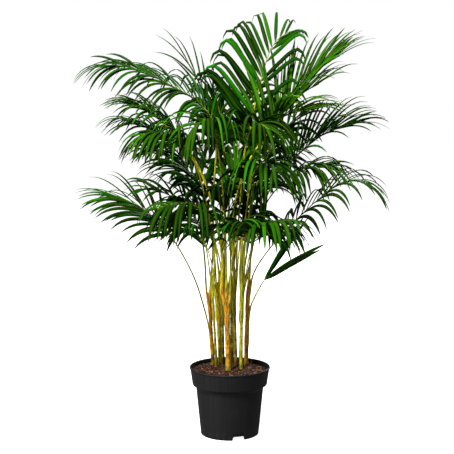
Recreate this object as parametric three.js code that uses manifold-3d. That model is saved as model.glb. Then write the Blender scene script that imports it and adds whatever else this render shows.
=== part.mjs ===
// Potted areca palm: a clump of ringed canes carrying feather-shaped fronds,
// rooted in potting soil inside a tapered black plastic nursery pot.
// Millimetres, +Z up. The origin is the centre of the pot's underside,
// and -Y is the side of the plant that is normally faced.
import * as THREE from 'three';
import { mergeVertices } from 'three/addons/utils/BufferGeometryUtils.js';
import Module from 'manifold-3d';

// ---- driving dimensions ----------------------------------------------------
const POT_HEIGHT = 204;          // floor to lip
const POT_RIM_R = 120;           // outer radius of the rolled lip
const POT_COLLAR_TOP_R = 118.2;  // outer radius just under the lip
const POT_COLLAR_LOW_R = 111.4;  // outer radius at the foot of the collar
const POT_COLLAR_Z = 153;        // height of the collar's lower edge
const POT_BODY_TOP_R = 100.8;    // outer radius of the body under the collar
const POT_BODY_Z = 143;          // height where the body meets the collar's shoulder
const POT_BASE_R = 86.6;         // outer radius of the body at the floor
const POT_WALL = 2.1;            // wall thickness
const POT_FOOT = 12;             // height of the foot ring under the base plate
const POT_PAD_R = 24;            // central pad that stands on the floor
const POT_SIDES = 48;            // facets round the pot
const NOTCH_WIDTH = 34;          // drainage notch in the foot ring
const NOTCH_ANGLES = [-72.4, 47.6, 167.6];
const DRAIN_R = 5.5;             // drain hole in the base plate
const DRAIN_RING_R = 58;         // circle the drain holes lie on
const DRAIN_COUNT = 8;
const GAP = 0.3;                 // clearance kept between touching pieces

const SOIL_EDGE_Z = 189;         // soil height at the pot wall
const SOIL_MOUND = 9;            // rise of the soil towards the middle
const SOIL_SIDES = 32;

const CANE_SIDES = 8;            // facets round a cane
const CANE_NODE_SWELL = 1.05;    // swelling at a leaf-scar ring
const CANE_STEPS = 11;           // stations along a cane

const LEAFLET_STEPS = 9;         // steps in a leaflet's curve
const LEAFLET_WAIST = 4;         // step at which the leaflet's section is placed
const LEAFLET_KEEL = 1.3;        // height of the folded leaflet's keel

// ---- canes: centre line from below the soil to the crown, with end radii ----
const CANES = [
  { name: 'cane_front_centre', path: [[-3.8, -24.9, 175.0], [-4.7, -28.0, 229.9], [-6.3, -33.5, 284.6], [-7.9, -39.1, 339.3], [-9.5, -44.5, 394.1], [-11.1, -50.0, 448.8]], foot: 8.2, top: 7.0, golden: true },
  { name: 'cane_front_left', path: [[-27.8, 34.9, 175.0], [-29.1, 28.3, 230.5], [-31.4, 16.6, 285.1], [-33.7, 5.0, 339.8], [-35.9, -6.5, 394.4], [-38.2, -18.0, 449.1]], foot: 6.6, top: 5.6, golden: false },
  { name: 'cane_left', path: [[-50.6, 55.0, 175.0], [-51.9, 51.1, 225.1], [-54.4, 43.8, 274.8], [-56.9, 36.5, 324.5], [-59.3, 29.2, 374.2], [-61.8, 22.0, 423.9]], foot: 5.6, top: 5.0, golden: true },
  { name: 'cane_centre_right', path: [[18.8, 16.0, 175.0], [17.9, 11.4, 227.9], [16.4, 3.0, 280.4], [14.8, -5.4, 332.9], [13.3, -13.7, 385.3], [11.8, -22.0, 437.8]], foot: 5.2, top: 4.6, golden: false },
  { name: 'cane_front_right', path: [[33.5, -0.2, 175.0], [33.6, -5.1, 228.6], [33.8, -13.9, 281.7], [33.9, -22.7, 334.8], [34.1, -31.3, 388.0], [34.2, -40.0, 441.1]], foot: 5.6, top: 4.8, golden: false },
  { name: 'cane_right', path: [[49.3, 55.0, 175.0], [49.9, 48.4, 229.8], [50.9, 36.7, 283.7], [51.9, 25.0, 337.6], [52.9, 13.5, 391.5], [53.9, 2.0, 445.5]], foot: 7.0, top: 5.6, golden: true },
  { name: 'cane_back_left', path: [[-20.3, 55.0, 175.0], [-20.8, 52.4, 229.3], [-21.8, 47.8, 283.4], [-22.7, 43.1, 337.6], [-23.7, 38.6, 391.7], [-24.6, 34.0, 445.9]], foot: 5.8, top: 4.8, golden: false },
  { name: 'cane_back_centre', path: [[6.9, 55.0, 175.0], [6.8, 53.2, 229.0], [6.7, 49.8, 283.0], [6.5, 46.5, 337.0], [6.3, 43.3, 390.9], [6.1, 40.0, 444.9]], foot: 6.0, top: 5.0, golden: false },
  { name: 'cane_back_right', path: [[32.6, 55.0, 175.0], [33.1, 53.4, 227.7], [33.8, 50.5, 280.4], [34.6, 47.7, 333.1], [35.3, 44.8, 385.8], [36.1, 42.0, 438.5]], foot: 5.6, top: 4.8, golden: false },
  { name: 'cane_left_slender', path: [[-39.7, 21.1, 175.0], [-40.8, 13.8, 223.5], [-42.9, -0.3, 270.5], [-45.0, -14.3, 317.6], [-47.1, -28.2, 364.6], [-49.2, -42.0, 411.7]], foot: 4.2, top: 3.6, golden: false },
];

// ---- fronds: a stalk that starts beside its cane and arches over, and leaflets
// in pairs along the outer part. stalk = stalk radius, bare = length without
// leaflets, pairs, longest and broad = leaflet length and width, lift = rise of
// the leaflets in degrees, droop = how much they hang, roll = turn of the blade
// at its foot and its tip, spread = angle between leaflet and midrib at the foot
// and the tip of the blade, foot and tip = length share of the end leaflets,
// bend = how late along its length a leaflet starts to hang,
// keel = 1 where the stalk's and the leaflets' ridge is on top, -1 where below,
// heading = compass of the blade's plane if not that of the stalk,
// set = how each leaflet stands (one letter per leaflet, - for a lost one).
const FRONDS = [
  { name: 'frond_upper_left', cane: 'cane_front_left', stalk: 3.8, bare: 458.745, pairs: 29, longest: 205, broad: 11.5, lift: 18, droop: 1.7, roll: [32, 14], spread: [56, 15], foot: 0.92, tip: 0.6, bend: 1.5, keel: 1, heading: null, dark: false, path: [[-41.7, -27.9, 402.1], [-40.8, -28.0, 457.2], [-43.7, -17.4, 511.4], [-47.2, -15.2, 566.4], [-48.7, -14.3, 621.7], [-48.6, -13.8, 677.0], [-46.7, -13.9, 732.2], [-42.8, -14.5, 787.4], [-39.7, -16.1, 842.5], [-41.9, -18.8, 897.6], [-59.0, -23.5, 949.7], [-95.4, -29.2, 990.6], [-141.0, -36.2, 1020.8], [-189.4, -43.7, 1046.4], [-238.7, -51.4, 1070.3], [-290.1, -60.4, 1088.3], [-343.9, -72.3, 1091.4]], set: '000-0000002000000002222120400020209002020c2c0ha20c0h02b200' },
  { name: 'frond_left_big', cane: 'cane_front_centre', stalk: 6.0, bare: 474.322, pairs: 22, longest: 205, broad: 12, lift: 18, droop: 1.3, roll: [12, 5], spread: [54, 16], foot: 0.85, tip: 0.55, bend: 1.5, keel: 1, heading: null, dark: false, path: [[-24.5, -52.8, 389.2], [-26.1, -55.6, 431.1], [-22.7, -57.4, 472.9], [-20.5, -59.8, 514.7], [-22.5, -63.9, 556.4], [-28.7, -68.6, 597.6], [-36.5, -72.9, 638.7], [-45.2, -76.2, 679.6], [-55.7, -78.9, 720.1], [-69.2, -81.8, 759.8], [-86.4, -85.2, 797.9], [-107.3, -88.2, 834.1], [-131.0, -90.8, 868.7], [-157.7, -93.4, 901.0], [-187.8, -95.7, 930.0], [-221.6, -98.2, 954.7], [-257.9, -101.0, 975.7]], set: '3020022e286c2e4232023612232262hc0836689ih908' },
  { name: 'frond_left_mid', cane: 'cane_left', stalk: 3.2, bare: 432.257, pairs: 16, longest: 205, broad: 11.5, lift: 16, droop: 1.5, roll: [10, 0], spread: [52, 16], foot: 0.75, tip: 0.6, bend: 1.5, keel: 1, heading: null, dark: false, path: [[-69.4, 31.0, 372.5], [-70.2, 30.1, 412.1], [-71.1, 28.2, 451.7], [-72.5, 26.6, 491.3], [-75.2, 26.4, 530.9], [-79.7, 28.0, 570.2], [-84.5, 29.8, 609.6], [-89.5, 31.4, 648.8], [-95.6, 33.0, 688.0], [-103.5, 34.6, 726.8], [-114.7, 36.3, 764.8], [-129.8, 38.5, 801.4], [-151.3, 41.5, 834.5], [-177.3, 45.6, 864.1], [-207.3, 50.7, 889.5], [-241.4, 56.6, 908.7], [-277.4, 62.8, 924.1]], set: '00000000025000000200020232030232' },
  { name: 'frond_left_front', cane: 'cane_front_left', stalk: 3.2, bare: 460.016, pairs: 17, longest: 185, broad: 12, lift: 8, droop: 2.6, roll: [0, 0], spread: [58, 22], foot: 0.75, tip: 0.5, bend: 1.5, keel: -1, heading: null, dark: false, path: [[-54.4, -11.9, 417.7], [-55.0, -17.1, 455.9], [-47.0, -31.0, 491.1], [-45.1, -44.4, 527.2], [-47.8, -53.6, 564.7], [-51.8, -59.6, 602.6], [-56.7, -67.0, 640.2], [-62.6, -75.5, 677.4], [-69.7, -84.8, 714.3], [-77.8, -95.6, 750.5], [-87.0, -107.7, 786.0], [-98.9, -121.0, 820.3], [-113.6, -135.1, 853.1], [-135.8, -151.0, 880.3], [-164.3, -167.8, 899.8], [-198.5, -184.9, 904.9], [-233.5, -200.9, 902.3]], set: '00040256e05012a20300000h2f300a050h' },
  { name: 'frond_left_low_long', cane: 'cane_left', stalk: 3.0, bare: 366.496, pairs: 18, longest: 190, broad: 11.5, lift: 2, droop: 0.85, roll: [46, 16], spread: [58, 11], foot: 0.85, tip: 0.6, bend: 1.8, keel: 1, heading: null, dark: false, path: [[-59.6, 36.1, 265.8], [-60.9, 28.1, 300.4], [-64.8, 10.3, 330.9], [-72.3, 3.6, 365.0], [-81.6, 2.7, 399.3], [-91.5, 1.0, 433.4], [-103.4, -1.4, 466.9], [-117.6, -4.4, 499.3], [-133.4, -7.7, 531.0], [-150.7, -11.2, 561.8], [-169.4, -14.8, 591.9], [-189.8, -18.6, 620.7], [-213.8, -22.8, 646.6], [-240.5, -27.3, 669.6], [-269.4, -32.1, 689.7], [-301.2, -37.1, 704.9], [-334.2, -42.2, 717.0]], set: '0000000020000-0e00000e2-430i00062032' },
  { name: 'frond_front_left_low', cane: 'cane_left_slender', stalk: 2.6, bare: 283.286, pairs: 14, longest: 190, broad: 13.5, lift: 0, droop: 3.6, roll: [0, 0], spread: [60, 24], foot: 0.75, tip: 0.5, bend: 1.5, keel: -1, heading: null, dark: false, path: [[-49.9, -47.7, 384.9], [-49.1, -50.4, 415.9], [-47.9, -54.1, 446.8], [-46.6, -59.3, 477.4], [-45.2, -66.5, 507.7], [-44.2, -75.3, 537.5], [-44.0, -86.1, 566.7], [-45.2, -98.3, 595.3], [-48.0, -111.8, 623.2], [-53.6, -127.0, 649.8], [-64.1, -143.9, 673.6], [-79.8, -162.8, 692.6], [-99.7, -182.6, 706.0], [-123.1, -201.6, 713.6], [-148.4, -219.5, 715.6], [-174.0, -236.8, 712.0], [-199.2, -252.0, 702.0]], set: '000000000002020f0f0d2d2d6d0l' },
  { name: 'frond_front_right_low', cane: 'cane_front_right', stalk: 3.0, bare: 211.344, pairs: 13, longest: 165, broad: 13, lift: 4, droop: 2.6, roll: [0, 0], spread: [58, 22], foot: 0.75, tip: 0.6, bend: 1.5, keel: -1, heading: null, dark: false, path: [[37.1, -45.7, 405.2], [36.7, -48.7, 431.5], [35.9, -52.7, 457.6], [34.9, -57.7, 483.5], [34.1, -64.2, 509.1], [34.6, -74.0, 533.6], [36.5, -86.3, 556.9], [39.5, -100.5, 578.9], [43.7, -116.2, 599.7], [50.3, -133.8, 618.3], [60.3, -153.0, 633.4], [73.5, -172.5, 645.3], [89.6, -191.2, 654.8], [108.0, -208.7, 662.1], [128.0, -225.0, 667.5], [149.5, -240.1, 670.2], [172.0, -254.0, 670.7]], set: '000500000000202000302b370d' },
  { name: 'frond_right_low', cane: 'cane_right', stalk: 3.0, bare: 177.057, pairs: 18, longest: 195, broad: 12, lift: 14, droop: 1.7, roll: [-22, -4], spread: [62, 20], foot: 0.75, tip: 0.45, bend: 1.5, keel: -1, heading: null, dark: false, path: [[63.9, 10.0, 402.4], [64.4, 10.0, 437.1], [67.4, 10.0, 471.7], [81.0, 9.0, 503.5], [99.6, 7.2, 532.7], [120.2, 4.6, 560.5], [142.0, 1.3, 587.4], [164.9, -2.4, 613.1], [188.6, -6.2, 638.2], [212.8, -10.3, 662.8], [237.5, -15.0, 686.6], [262.9, -20.1, 709.8], [289.1, -25.8, 731.7], [317.6, -31.7, 750.6], [349.7, -37.5, 761.9], [383.3, -43.8, 757.7], [412.9, -49.8, 740.8]], set: '000000000000000000000000000000000002' },
  { name: 'frond_right_bifid', cane: 'cane_right', stalk: 3.3, bare: 173.755, pairs: 3, longest: 216, broad: 21, lift: 0, droop: 0.16, roll: [-72, -66], spread: [18, 25], foot: 0.98, tip: 1.0, bend: 1.0, keel: 1, heading: null, dark: true, path: [[54.4, 21.1, 296.3], [54.9, 18.3, 309.4], [55.4, 15.5, 322.4], [56.0, 11.6, 335.2], [56.9, 6.1, 347.3], [57.8, 0.5, 359.4], [59.5, -5.1, 371.4], [61.5, -10.7, 383.4], [64.1, -15.8, 395.4], [69.2, -19.0, 407.4], [74.3, -22.2, 419.3], [79.7, -25.6, 431.1], [85.5, -28.9, 442.7], [91.3, -32.3, 454.2], [98.0, -35.7, 465.3], [105.9, -38.6, 475.7], [114.4, -41.0, 485.7]], set: '--2020' },
  { name: 'frond_right_mid', cane: 'cane_back_right', stalk: 3.0, bare: 388.774, pairs: 14, longest: 195, broad: 12.5, lift: 12, droop: 2.2, roll: [-8, 0], spread: [56, 18], foot: 0.75, tip: 0.6, bend: 1.5, keel: -1, heading: null, dark: false, path: [[45.4, 41.1, 402.5], [48.1, 41.1, 434.8], [52.7, 40.7, 466.9], [58.1, 40.0, 498.8], [63.7, 38.9, 530.7], [69.3, 37.5, 562.6], [75.4, 35.9, 594.4], [82.9, 34.1, 625.9], [92.8, 30.8, 656.6], [105.8, 26.3, 685.8], [122.2, 20.8, 713.1], [142.2, 14.5, 737.7], [165.2, 7.3, 759.4], [190.6, -1.2, 777.5], [218.5, -10.3, 791.2], [248.6, -20.0, 798.1], [279.5, -29.7, 798.5]], set: '000000002030300032709jh20jhd' },
  { name: 'frond_right_arch', cane: 'cane_right', stalk: 3.6, bare: 379.04, pairs: 21, longest: 218, broad: 11.5, lift: 36, droop: 0.9, roll: [-16, -4], spread: [54, 16], foot: 0.75, tip: 0.55, bend: 2.0, keel: 1, heading: null, dark: false, path: [[58.3, 17.0, 425.9], [59.0, 14.6, 464.9], [60.1, 10.4, 503.7], [62.2, 7.0, 542.6], [67.0, 6.7, 581.3], [75.3, 8.9, 619.5], [85.7, 11.0, 657.0], [99.3, 12.8, 693.6], [116.7, 14.0, 728.5], [138.0, 14.1, 761.3], [161.8, 13.4, 792.3], [187.9, 11.6, 821.3], [215.8, 9.3, 848.5], [245.8, 6.5, 873.4], [277.7, 3.0, 895.5], [313.6, -1.8, 910.3], [351.1, -7.5, 919.4]], set: '00000e000-000e2000020203222-0e090i0a22h-99' },
  { name: 'frond_right_yellow', cane: 'cane_front_right', stalk: 3.0, bare: 442.101, pairs: 15, longest: 200, broad: 12, lift: 30, droop: 0.9, roll: [-14, -4], spread: [52, 16], foot: 0.75, tip: 0.55, bend: 2.0, keel: 1, heading: null, dark: false, path: [[44.0, -37.4, 421.2], [43.6, -37.5, 460.7], [42.2, -37.6, 500.1], [42.1, -38.1, 539.6], [44.7, -39.1, 579.0], [49.1, -40.7, 618.1], [54.0, -42.9, 657.3], [59.1, -45.6, 696.3], [64.7, -48.7, 735.3], [71.1, -52.2, 774.0], [78.7, -56.2, 812.6], [88.5, -60.9, 850.5], [101.2, -66.3, 887.4], [122.2, -73.3, 920.0], [150.3, -81.3, 946.3], [186.1, -89.4, 960.5], [224.0, -97.3, 968.1]], set: 'k2-0-0-0-0-0-0j1-2403000224332' },
  { name: 'frond_top_right', cane: 'cane_centre_right', stalk: 3.4, bare: 492.053, pairs: 23, longest: 238, broad: 12, lift: 34, droop: 0.6, roll: [-26, -12], spread: [50, 12], foot: 0.9, tip: 0.6, bend: 2.5, keel: 1, heading: null, dark: false, path: [[14.1, -28.5, 414.2], [12.0, -39.1, 463.7], [9.3, -53.4, 512.4], [7.2, -66.5, 561.3], [6.8, -74.9, 611.3], [8.9, -81.9, 661.5], [16.1, -86.1, 711.5], [29.8, -83.7, 760.2], [47.3, -77.6, 807.4], [71.9, -68.1, 850.7], [101.3, -57.8, 890.7], [130.8, -46.9, 930.5], [160.3, -36.6, 970.4], [191.1, -27.4, 1009.7], [223.9, -18.7, 1047.4], [259.4, -9.6, 1082.5], [300.7, -2.0, 1110.9]], set: '1g3-303-905038a32-00202060222-202-c02-0-20h44-' },
  { name: 'frond_top', cane: 'cane_back_centre', stalk: 4.2, bare: 479.025, pairs: 18, longest: 212, broad: 14.5, lift: 22, droop: 4.0, roll: [0, 0], spread: [50, 36], foot: 1.28, tip: 0.24, bend: 7.0, keel: 1, heading: 66, dark: false, path: [[19.0, 41.5, 417.1], [15.1, 39.6, 467.9], [10.2, 37.3, 518.5], [9.3, 35.8, 569.4], [13.2, 35.6, 620.2], [18.8, 36.0, 670.9], [25.3, 36.7, 721.4], [32.8, 37.8, 771.8], [41.2, 38.9, 822.1], [51.5, 39.6, 872.0], [62.0, 41.0, 921.8], [72.8, 43.4, 971.5], [84.7, 45.9, 1021.0], [97.4, 48.8, 1070.3], [111.8, 52.7, 1119.0], [135.5, 57.6, 1163.5], [176.5, 64.0, 1192.8]], set: '63000-000-0-0-00000-0-000-0000030-00' },
  { name: 'frond_top_front', cane: 'cane_back_right', stalk: 3.0, bare: 404.718, pairs: 19, longest: 225, broad: 12.5, lift: 40, droop: 0.7, roll: [-24, -20], spread: [46, 18], foot: 0.9, tip: 0.55, bend: 2.5, keel: 1, heading: null, dark: false, path: [[37.5, 32.6, 426.5], [40.5, 32.1, 469.0], [46.2, 30.3, 511.1], [53.0, 26.6, 553.0], [60.1, 21.6, 594.7], [67.3, 15.7, 636.3], [74.4, 9.1, 677.8], [81.9, 2.0, 719.1], [90.4, -5.2, 760.2], [100.1, -12.0, 801.2], [111.1, -18.4, 841.8], [125.1, -23.6, 881.7], [141.2, -28.9, 920.8], [161.3, -35.6, 957.7], [186.3, -43.2, 991.3], [217.3, -51.1, 1019.3], [253.9, -58.0, 1039.9]], set: '030-0b2-0-0i0i0-0-0-1-m-me6-e8--b0b02-' },
  { name: 'frond_top_back_left', cane: 'cane_back_left', stalk: 3.0, bare: 446.369, pairs: 6, longest: 190, broad: 8, lift: 12, droop: 0.6, roll: [0, 0], spread: [24, 8], foot: 0.75, tip: 0.75, bend: 1.5, keel: 1, heading: null, dark: true, path: [[-25.8, 45.8, 426.0], [-25.1, 46.1, 470.6], [-23.9, 47.3, 515.2], [-22.8, 49.8, 559.8], [-22.0, 53.5, 604.3], [-21.6, 57.8, 648.7], [-21.8, 62.0, 693.1], [-22.8, 66.3, 737.5], [-25.0, 71.0, 781.9], [-28.5, 76.1, 826.1], [-34.2, 81.6, 870.0], [-42.9, 87.8, 913.3], [-54.6, 94.5, 955.9], [-69.5, 101.8, 997.3], [-86.9, 110.8, 1037.4], [-107.6, 121.1, 1075.6], [-131.0, 132.0, 1112.0]], set: '00100020b000' },
  { name: 'frond_front_centre_left', cane: 'cane_front_centre', stalk: 3.2, bare: 450.556, pairs: 17, longest: 205, broad: 12.5, lift: 10, droop: 2.9, roll: [0, 0], spread: [50, 22], foot: 0.75, tip: 0.5, bend: 1.5, keel: -1, heading: null, dark: false, path: [[-8.6, -59.7, 417.0], [-8.9, -62.7, 454.7], [-9.8, -68.0, 492.2], [-10.8, -74.1, 529.6], [-11.7, -79.9, 567.0], [-12.5, -85.3, 604.4], [-13.7, -91.1, 641.8], [-15.6, -97.4, 679.1], [-18.1, -104.3, 716.2], [-21.0, -112.2, 753.1], [-24.4, -121.5, 789.7], [-28.4, -132.4, 825.7], [-33.7, -145.1, 861.0], [-41.4, -160.9, 894.4], [-54.9, -181.3, 923.0], [-77.8, -208.1, 935.0], [-103.5, -232.0, 921.6]], set: '3f0g0-0o0-0i2o2-0h090n0h040h0-0-0d' },
  { name: 'frond_front_centre_right', cane: 'cane_centre_right', stalk: 3.0, bare: 437.741, pairs: 17, longest: 205, broad: 12.5, lift: 10, droop: 2.9, roll: [0, 0], spread: [50, 22], foot: 0.75, tip: 0.5, bend: 1.5, keel: -1, heading: null, dark: false, path: [[21.1, -23.9, 433.9], [20.9, -27.9, 470.8], [19.7, -38.0, 506.4], [19.8, -47.0, 542.4], [21.1, -54.0, 578.8], [23.1, -60.4, 615.3], [25.4, -67.6, 651.6], [28.0, -75.7, 687.7], [30.9, -84.6, 723.6], [33.8, -94.6, 759.3], [36.8, -105.8, 794.5], [40.1, -118.5, 829.2], [44.1, -132.8, 863.1], [49.9, -150.9, 895.0], [60.5, -174.2, 921.4], [81.4, -202.0, 932.6], [106.3, -226.0, 919.9]], set: '0c0h03030h6c242l2-306061c12f276024' },
  { name: 'frond_right_front_hang', cane: 'cane_front_right', stalk: 3.0, bare: 323.537, pairs: 16, longest: 190, broad: 13.5, lift: 6, droop: 2.9, roll: [0, 0], spread: [54, 22], foot: 0.75, tip: 0.55, bend: 1.5, keel: -1, heading: null, dark: false, path: [[26.8, -46.3, 441.1], [27.3, -48.8, 471.8], [29.0, -53.5, 502.2], [31.3, -59.0, 532.4], [34.1, -64.4, 562.6], [37.2, -69.8, 592.8], [40.7, -75.4, 622.9], [44.3, -81.5, 652.9], [47.7, -88.8, 682.6], [51.4, -97.2, 712.0], [55.4, -107.4, 740.8], [60.0, -119.4, 768.8], [66.8, -135.8, 793.8], [78.0, -157.0, 813.0], [94.7, -181.0, 822.1], [113.3, -205.0, 818.6], [128.7, -226.0, 802.4]], set: '0000000400020024806d85a9070l0d0f' },
  { name: 'frond_left_low_up', cane: 'cane_left', stalk: 2.8, bare: 187.837, pairs: 12, longest: 170, broad: 14, lift: 32, droop: 1.2, roll: [20, 20], spread: [60, 22], foot: 0.75, tip: 0.5, bend: 1.5, keel: 1, heading: null, dark: false, path: [[-54.9, 16.9, 396.2], [-55.7, 14.5, 422.9], [-56.9, 11.7, 449.6], [-58.7, 8.6, 476.2], [-61.1, 5.6, 502.7], [-64.6, 3.6, 529.3], [-69.0, 1.9, 555.7], [-74.8, 0.2, 581.8], [-83.1, -2.1, 607.2], [-93.8, -4.8, 631.7], [-107.1, -8.3, 654.7], [-123.3, -12.2, 675.7], [-142.1, -16.3, 694.4], [-163.4, -20.7, 710.0], [-186.7, -25.3, 722.5], [-211.5, -30.5, 731.2], [-237.1, -36.0, 737.3]], set: '000010202020be0102020300' },
  { name: 'frond_left_back_mid', cane: 'cane_back_left', stalk: 2.8, bare: 276.627, pairs: 12, longest: 190, broad: 14, lift: 20, droop: 1.5, roll: [0, 0], spread: [60, 22], foot: 0.75, tip: 0.5, bend: 1.5, keel: 1, heading: null, dark: true, path: [[-33.8, 35.8, 410.5], [-33.7, 40.8, 443.5], [-34.3, 46.3, 476.3], [-36.4, 51.3, 509.2], [-40.1, 55.6, 542.0], [-45.5, 59.3, 574.7], [-52.0, 63.0, 607.2], [-59.8, 67.0, 639.4], [-69.1, 71.6, 671.0], [-79.7, 76.7, 702.2], [-93.5, 83.2, 731.8], [-109.9, 90.5, 759.9], [-129.6, 98.4, 785.5], [-152.8, 107.3, 807.7], [-178.9, 117.7, 825.7], [-207.7, 128.7, 838.1], [-238.3, 140.0, 845.0]], set: '20300b106031200000000200' },
  { name: 'frond_centre_back', cane: 'cane_back_centre', stalk: 3.0, bare: 293.748, pairs: 13, longest: 205, broad: 14, lift: 20, droop: 1.4, roll: [0, 0], spread: [44, 20], foot: 0.75, tip: 0.45, bend: 2.4, keel: 1, heading: null, dark: true, path: [[4.7, 50.7, 433.0], [2.7, 48.6, 470.1], [2.1, 50.5, 507.2], [2.2, 52.0, 544.3], [1.2, 53.8, 581.4], [-0.6, 55.9, 618.5], [-2.5, 58.4, 655.6], [-4.6, 61.2, 692.6], [-6.9, 64.2, 729.6], [-9.5, 67.8, 766.5], [-12.5, 71.7, 803.3], [-15.9, 76.4, 840.0], [-19.9, 82.5, 876.5], [-24.4, 89.8, 912.7], [-29.4, 98.8, 948.4], [-36.1, 109.5, 983.3], [-45.7, 122.0, 1017.0]], set: 'f0o-e-3-0-000100080g0-9-h7' },
  { name: 'frond_right_back_up', cane: 'cane_back_right', stalk: 3.0, bare: 313.77, pairs: 13, longest: 195, broad: 14, lift: 25, droop: 1.5, roll: [0, 0], spread: [60, 22], foot: 0.75, tip: 0.5, bend: 2.0, keel: 1, heading: null, dark: true, path: [[42.4, 49.9, 434.5], [41.8, 54.2, 474.5], [41.0, 62.8, 513.8], [44.0, 70.1, 553.2], [49.4, 76.3, 592.6], [56.0, 83.1, 631.7], [63.8, 90.9, 670.4], [73.1, 99.3, 708.6], [84.1, 108.2, 746.2], [97.7, 117.9, 782.8], [113.3, 128.6, 818.3], [131.3, 140.4, 852.3], [152.4, 153.2, 884.0], [177.2, 166.7, 912.7], [205.3, 182.2, 936.8], [237.2, 199.5, 954.0], [272.0, 218.0, 961.7]], set: '0-030e0e00020b000000000202' },
  { name: 'frond_back_left', cane: 'cane_back_left', stalk: 2.8, bare: 287.154, pairs: 12, longest: 195, broad: 14, lift: 15, droop: 1.7, roll: [0, 0], spread: [60, 22], foot: 0.75, tip: 0.5, bend: 1.5, keel: -1, heading: null, dark: true, path: [[-15.0, 43.8, 398.1], [-15.2, 49.2, 436.0], [-15.4, 61.3, 472.3], [-15.5, 74.4, 508.3], [-15.8, 86.9, 544.4], [-16.7, 98.8, 580.8], [-19.0, 110.5, 617.2], [-22.9, 122.6, 653.3], [-28.3, 135.4, 689.0], [-35.6, 149.8, 723.7], [-45.0, 166.2, 757.0], [-57.2, 184.3, 788.4], [-73.1, 204.8, 816.5], [-94.2, 227.9, 838.3], [-121.0, 252.4, 849.9], [-151.3, 275.5, 849.2], [-181.7, 296.0, 838.4]], set: '20-0a0h67020200000000000' },
  { name: 'frond_back_right', cane: 'cane_back_right', stalk: 2.8, bare: 285.592, pairs: 12, longest: 195, broad: 14, lift: 15, droop: 1.7, roll: [0, 0], spread: [60, 22], foot: 0.75, tip: 0.5, bend: 1.5, keel: -1, heading: null, dark: true, path: [[31.7, 53.7, 402.5], [31.6, 57.4, 438.9], [31.5, 65.7, 474.6], [31.8, 75.2, 509.9], [33.4, 85.5, 545.0], [36.4, 96.8, 579.7], [40.6, 109.0, 613.9], [45.6, 121.9, 647.8], [51.0, 135.6, 681.4], [58.3, 150.9, 713.8], [67.9, 168.3, 744.5], [80.0, 187.6, 773.2], [95.7, 208.6, 798.6], [116.1, 231.9, 817.9], [141.7, 256.3, 826.6], [170.0, 278.7, 821.8], [197.1, 298.0, 806.7]], set: '0813g0b0100000000000000h' },
  { name: 'frond_back_centre', cane: 'cane_back_centre', stalk: 2.8, bare: 393.46, pairs: 13, longest: 205, broad: 14, lift: 15, droop: 1.6, roll: [0, 0], spread: [60, 22], foot: 0.75, tip: 0.5, bend: 1.5, keel: -1, heading: null, dark: true, path: [[-5.2, 42.3, 397.3], [-4.2, 51.4, 439.5], [4.2, 61.8, 480.6], [11.2, 72.3, 522.0], [15.4, 82.1, 563.9], [17.7, 90.7, 606.2], [19.2, 99.1, 648.6], [20.9, 108.2, 690.8], [22.8, 118.0, 732.9], [24.7, 128.8, 774.7], [26.7, 140.4, 816.3], [28.8, 153.4, 857.5], [31.1, 168.1, 898.1], [33.4, 185.3, 937.7], [35.6, 206.8, 975.1], [37.7, 237.5, 1004.8], [40.2, 280.0, 1009.6]], set: '9o23e0e1210000200000000700' },
  { name: 'frond_back_low_left', cane: 'cane_back_left', stalk: 2.6, bare: 222.167, pairs: 11, longest: 180, broad: 14, lift: 10, droop: 2.2, roll: [0, 0], spread: [60, 22], foot: 0.75, tip: 0.5, bend: 1.5, keel: -1, heading: null, dark: true, path: [[-33.1, 31.9, 366.2], [-33.2, 39.0, 392.7], [-32.0, 48.0, 418.6], [-30.7, 58.2, 444.0], [-30.8, 69.0, 469.2], [-34.0, 80.1, 494.1], [-38.8, 91.8, 518.4], [-45.0, 104.3, 542.0], [-52.8, 118.2, 564.3], [-62.6, 133.7, 584.8], [-74.4, 150.5, 602.9], [-88.8, 168.4, 617.9], [-105.9, 187.1, 628.2], [-125.2, 205.8, 633.8], [-145.8, 223.8, 634.1], [-166.8, 240.5, 628.6], [-187.4, 256.0, 619.2]], set: '0000000000002020809020' },
  { name: 'frond_inner_left', cane: 'cane_back_left', stalk: 2.7, bare: 217.885, pairs: 12, longest: 185, broad: 12.5, lift: 12, droop: 1.4, roll: [0, 0], spread: [48, 20], foot: 0.75, tip: 0.5, bend: 2.0, keel: 1, heading: null, dark: false, path: [[-18.6, 26.9, 414.0], [-19.7, 26.0, 436.2], [-21.5, 25.2, 458.3], [-24.2, 24.2, 480.4], [-27.4, 22.8, 502.3], [-31.0, 21.2, 524.2], [-35.5, 19.5, 545.9], [-40.7, 17.6, 567.5], [-46.4, 15.4, 588.8], [-53.6, 12.4, 609.6], [-61.4, 9.2, 630.2], [-71.3, 4.6, 649.5], [-83.3, -1.5, 667.2], [-97.3, -8.7, 682.9], [-114.1, -16.9, 694.8], [-133.4, -26.2, 700.4], [-153.3, -36.0, 699.5]], set: 'al6-6-2g2-2l0-1h1fcic9-0' },
  { name: 'frond_inner_right', cane: 'cane_back_right', stalk: 2.7, bare: 187.03, pairs: 12, longest: 180, broad: 13, lift: 5, droop: 2.6, roll: [0, 0], spread: [58, 22], foot: 0.75, tip: 0.5, bend: 1.5, keel: -1, heading: null, dark: true, path: [[27.4, 38.7, 414.5], [28.3, 36.7, 432.2], [29.2, 34.7, 449.9], [31.6, 30.4, 467.0], [34.2, 25.7, 484.0], [36.7, 21.3, 501.0], [39.1, 16.9, 518.1], [41.3, 13.4, 535.5], [43.2, 10.2, 552.9], [45.5, 7.1, 570.3], [48.0, 3.9, 587.6], [50.8, 0.4, 604.8], [55.2, -4.6, 621.4], [60.6, -10.5, 637.3], [67.7, -18.0, 651.8], [77.3, -28.2, 662.5], [90.5, -40.0, 662.0]], set: '1219e596b8mb-d-8-9-d-1a7' },
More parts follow.
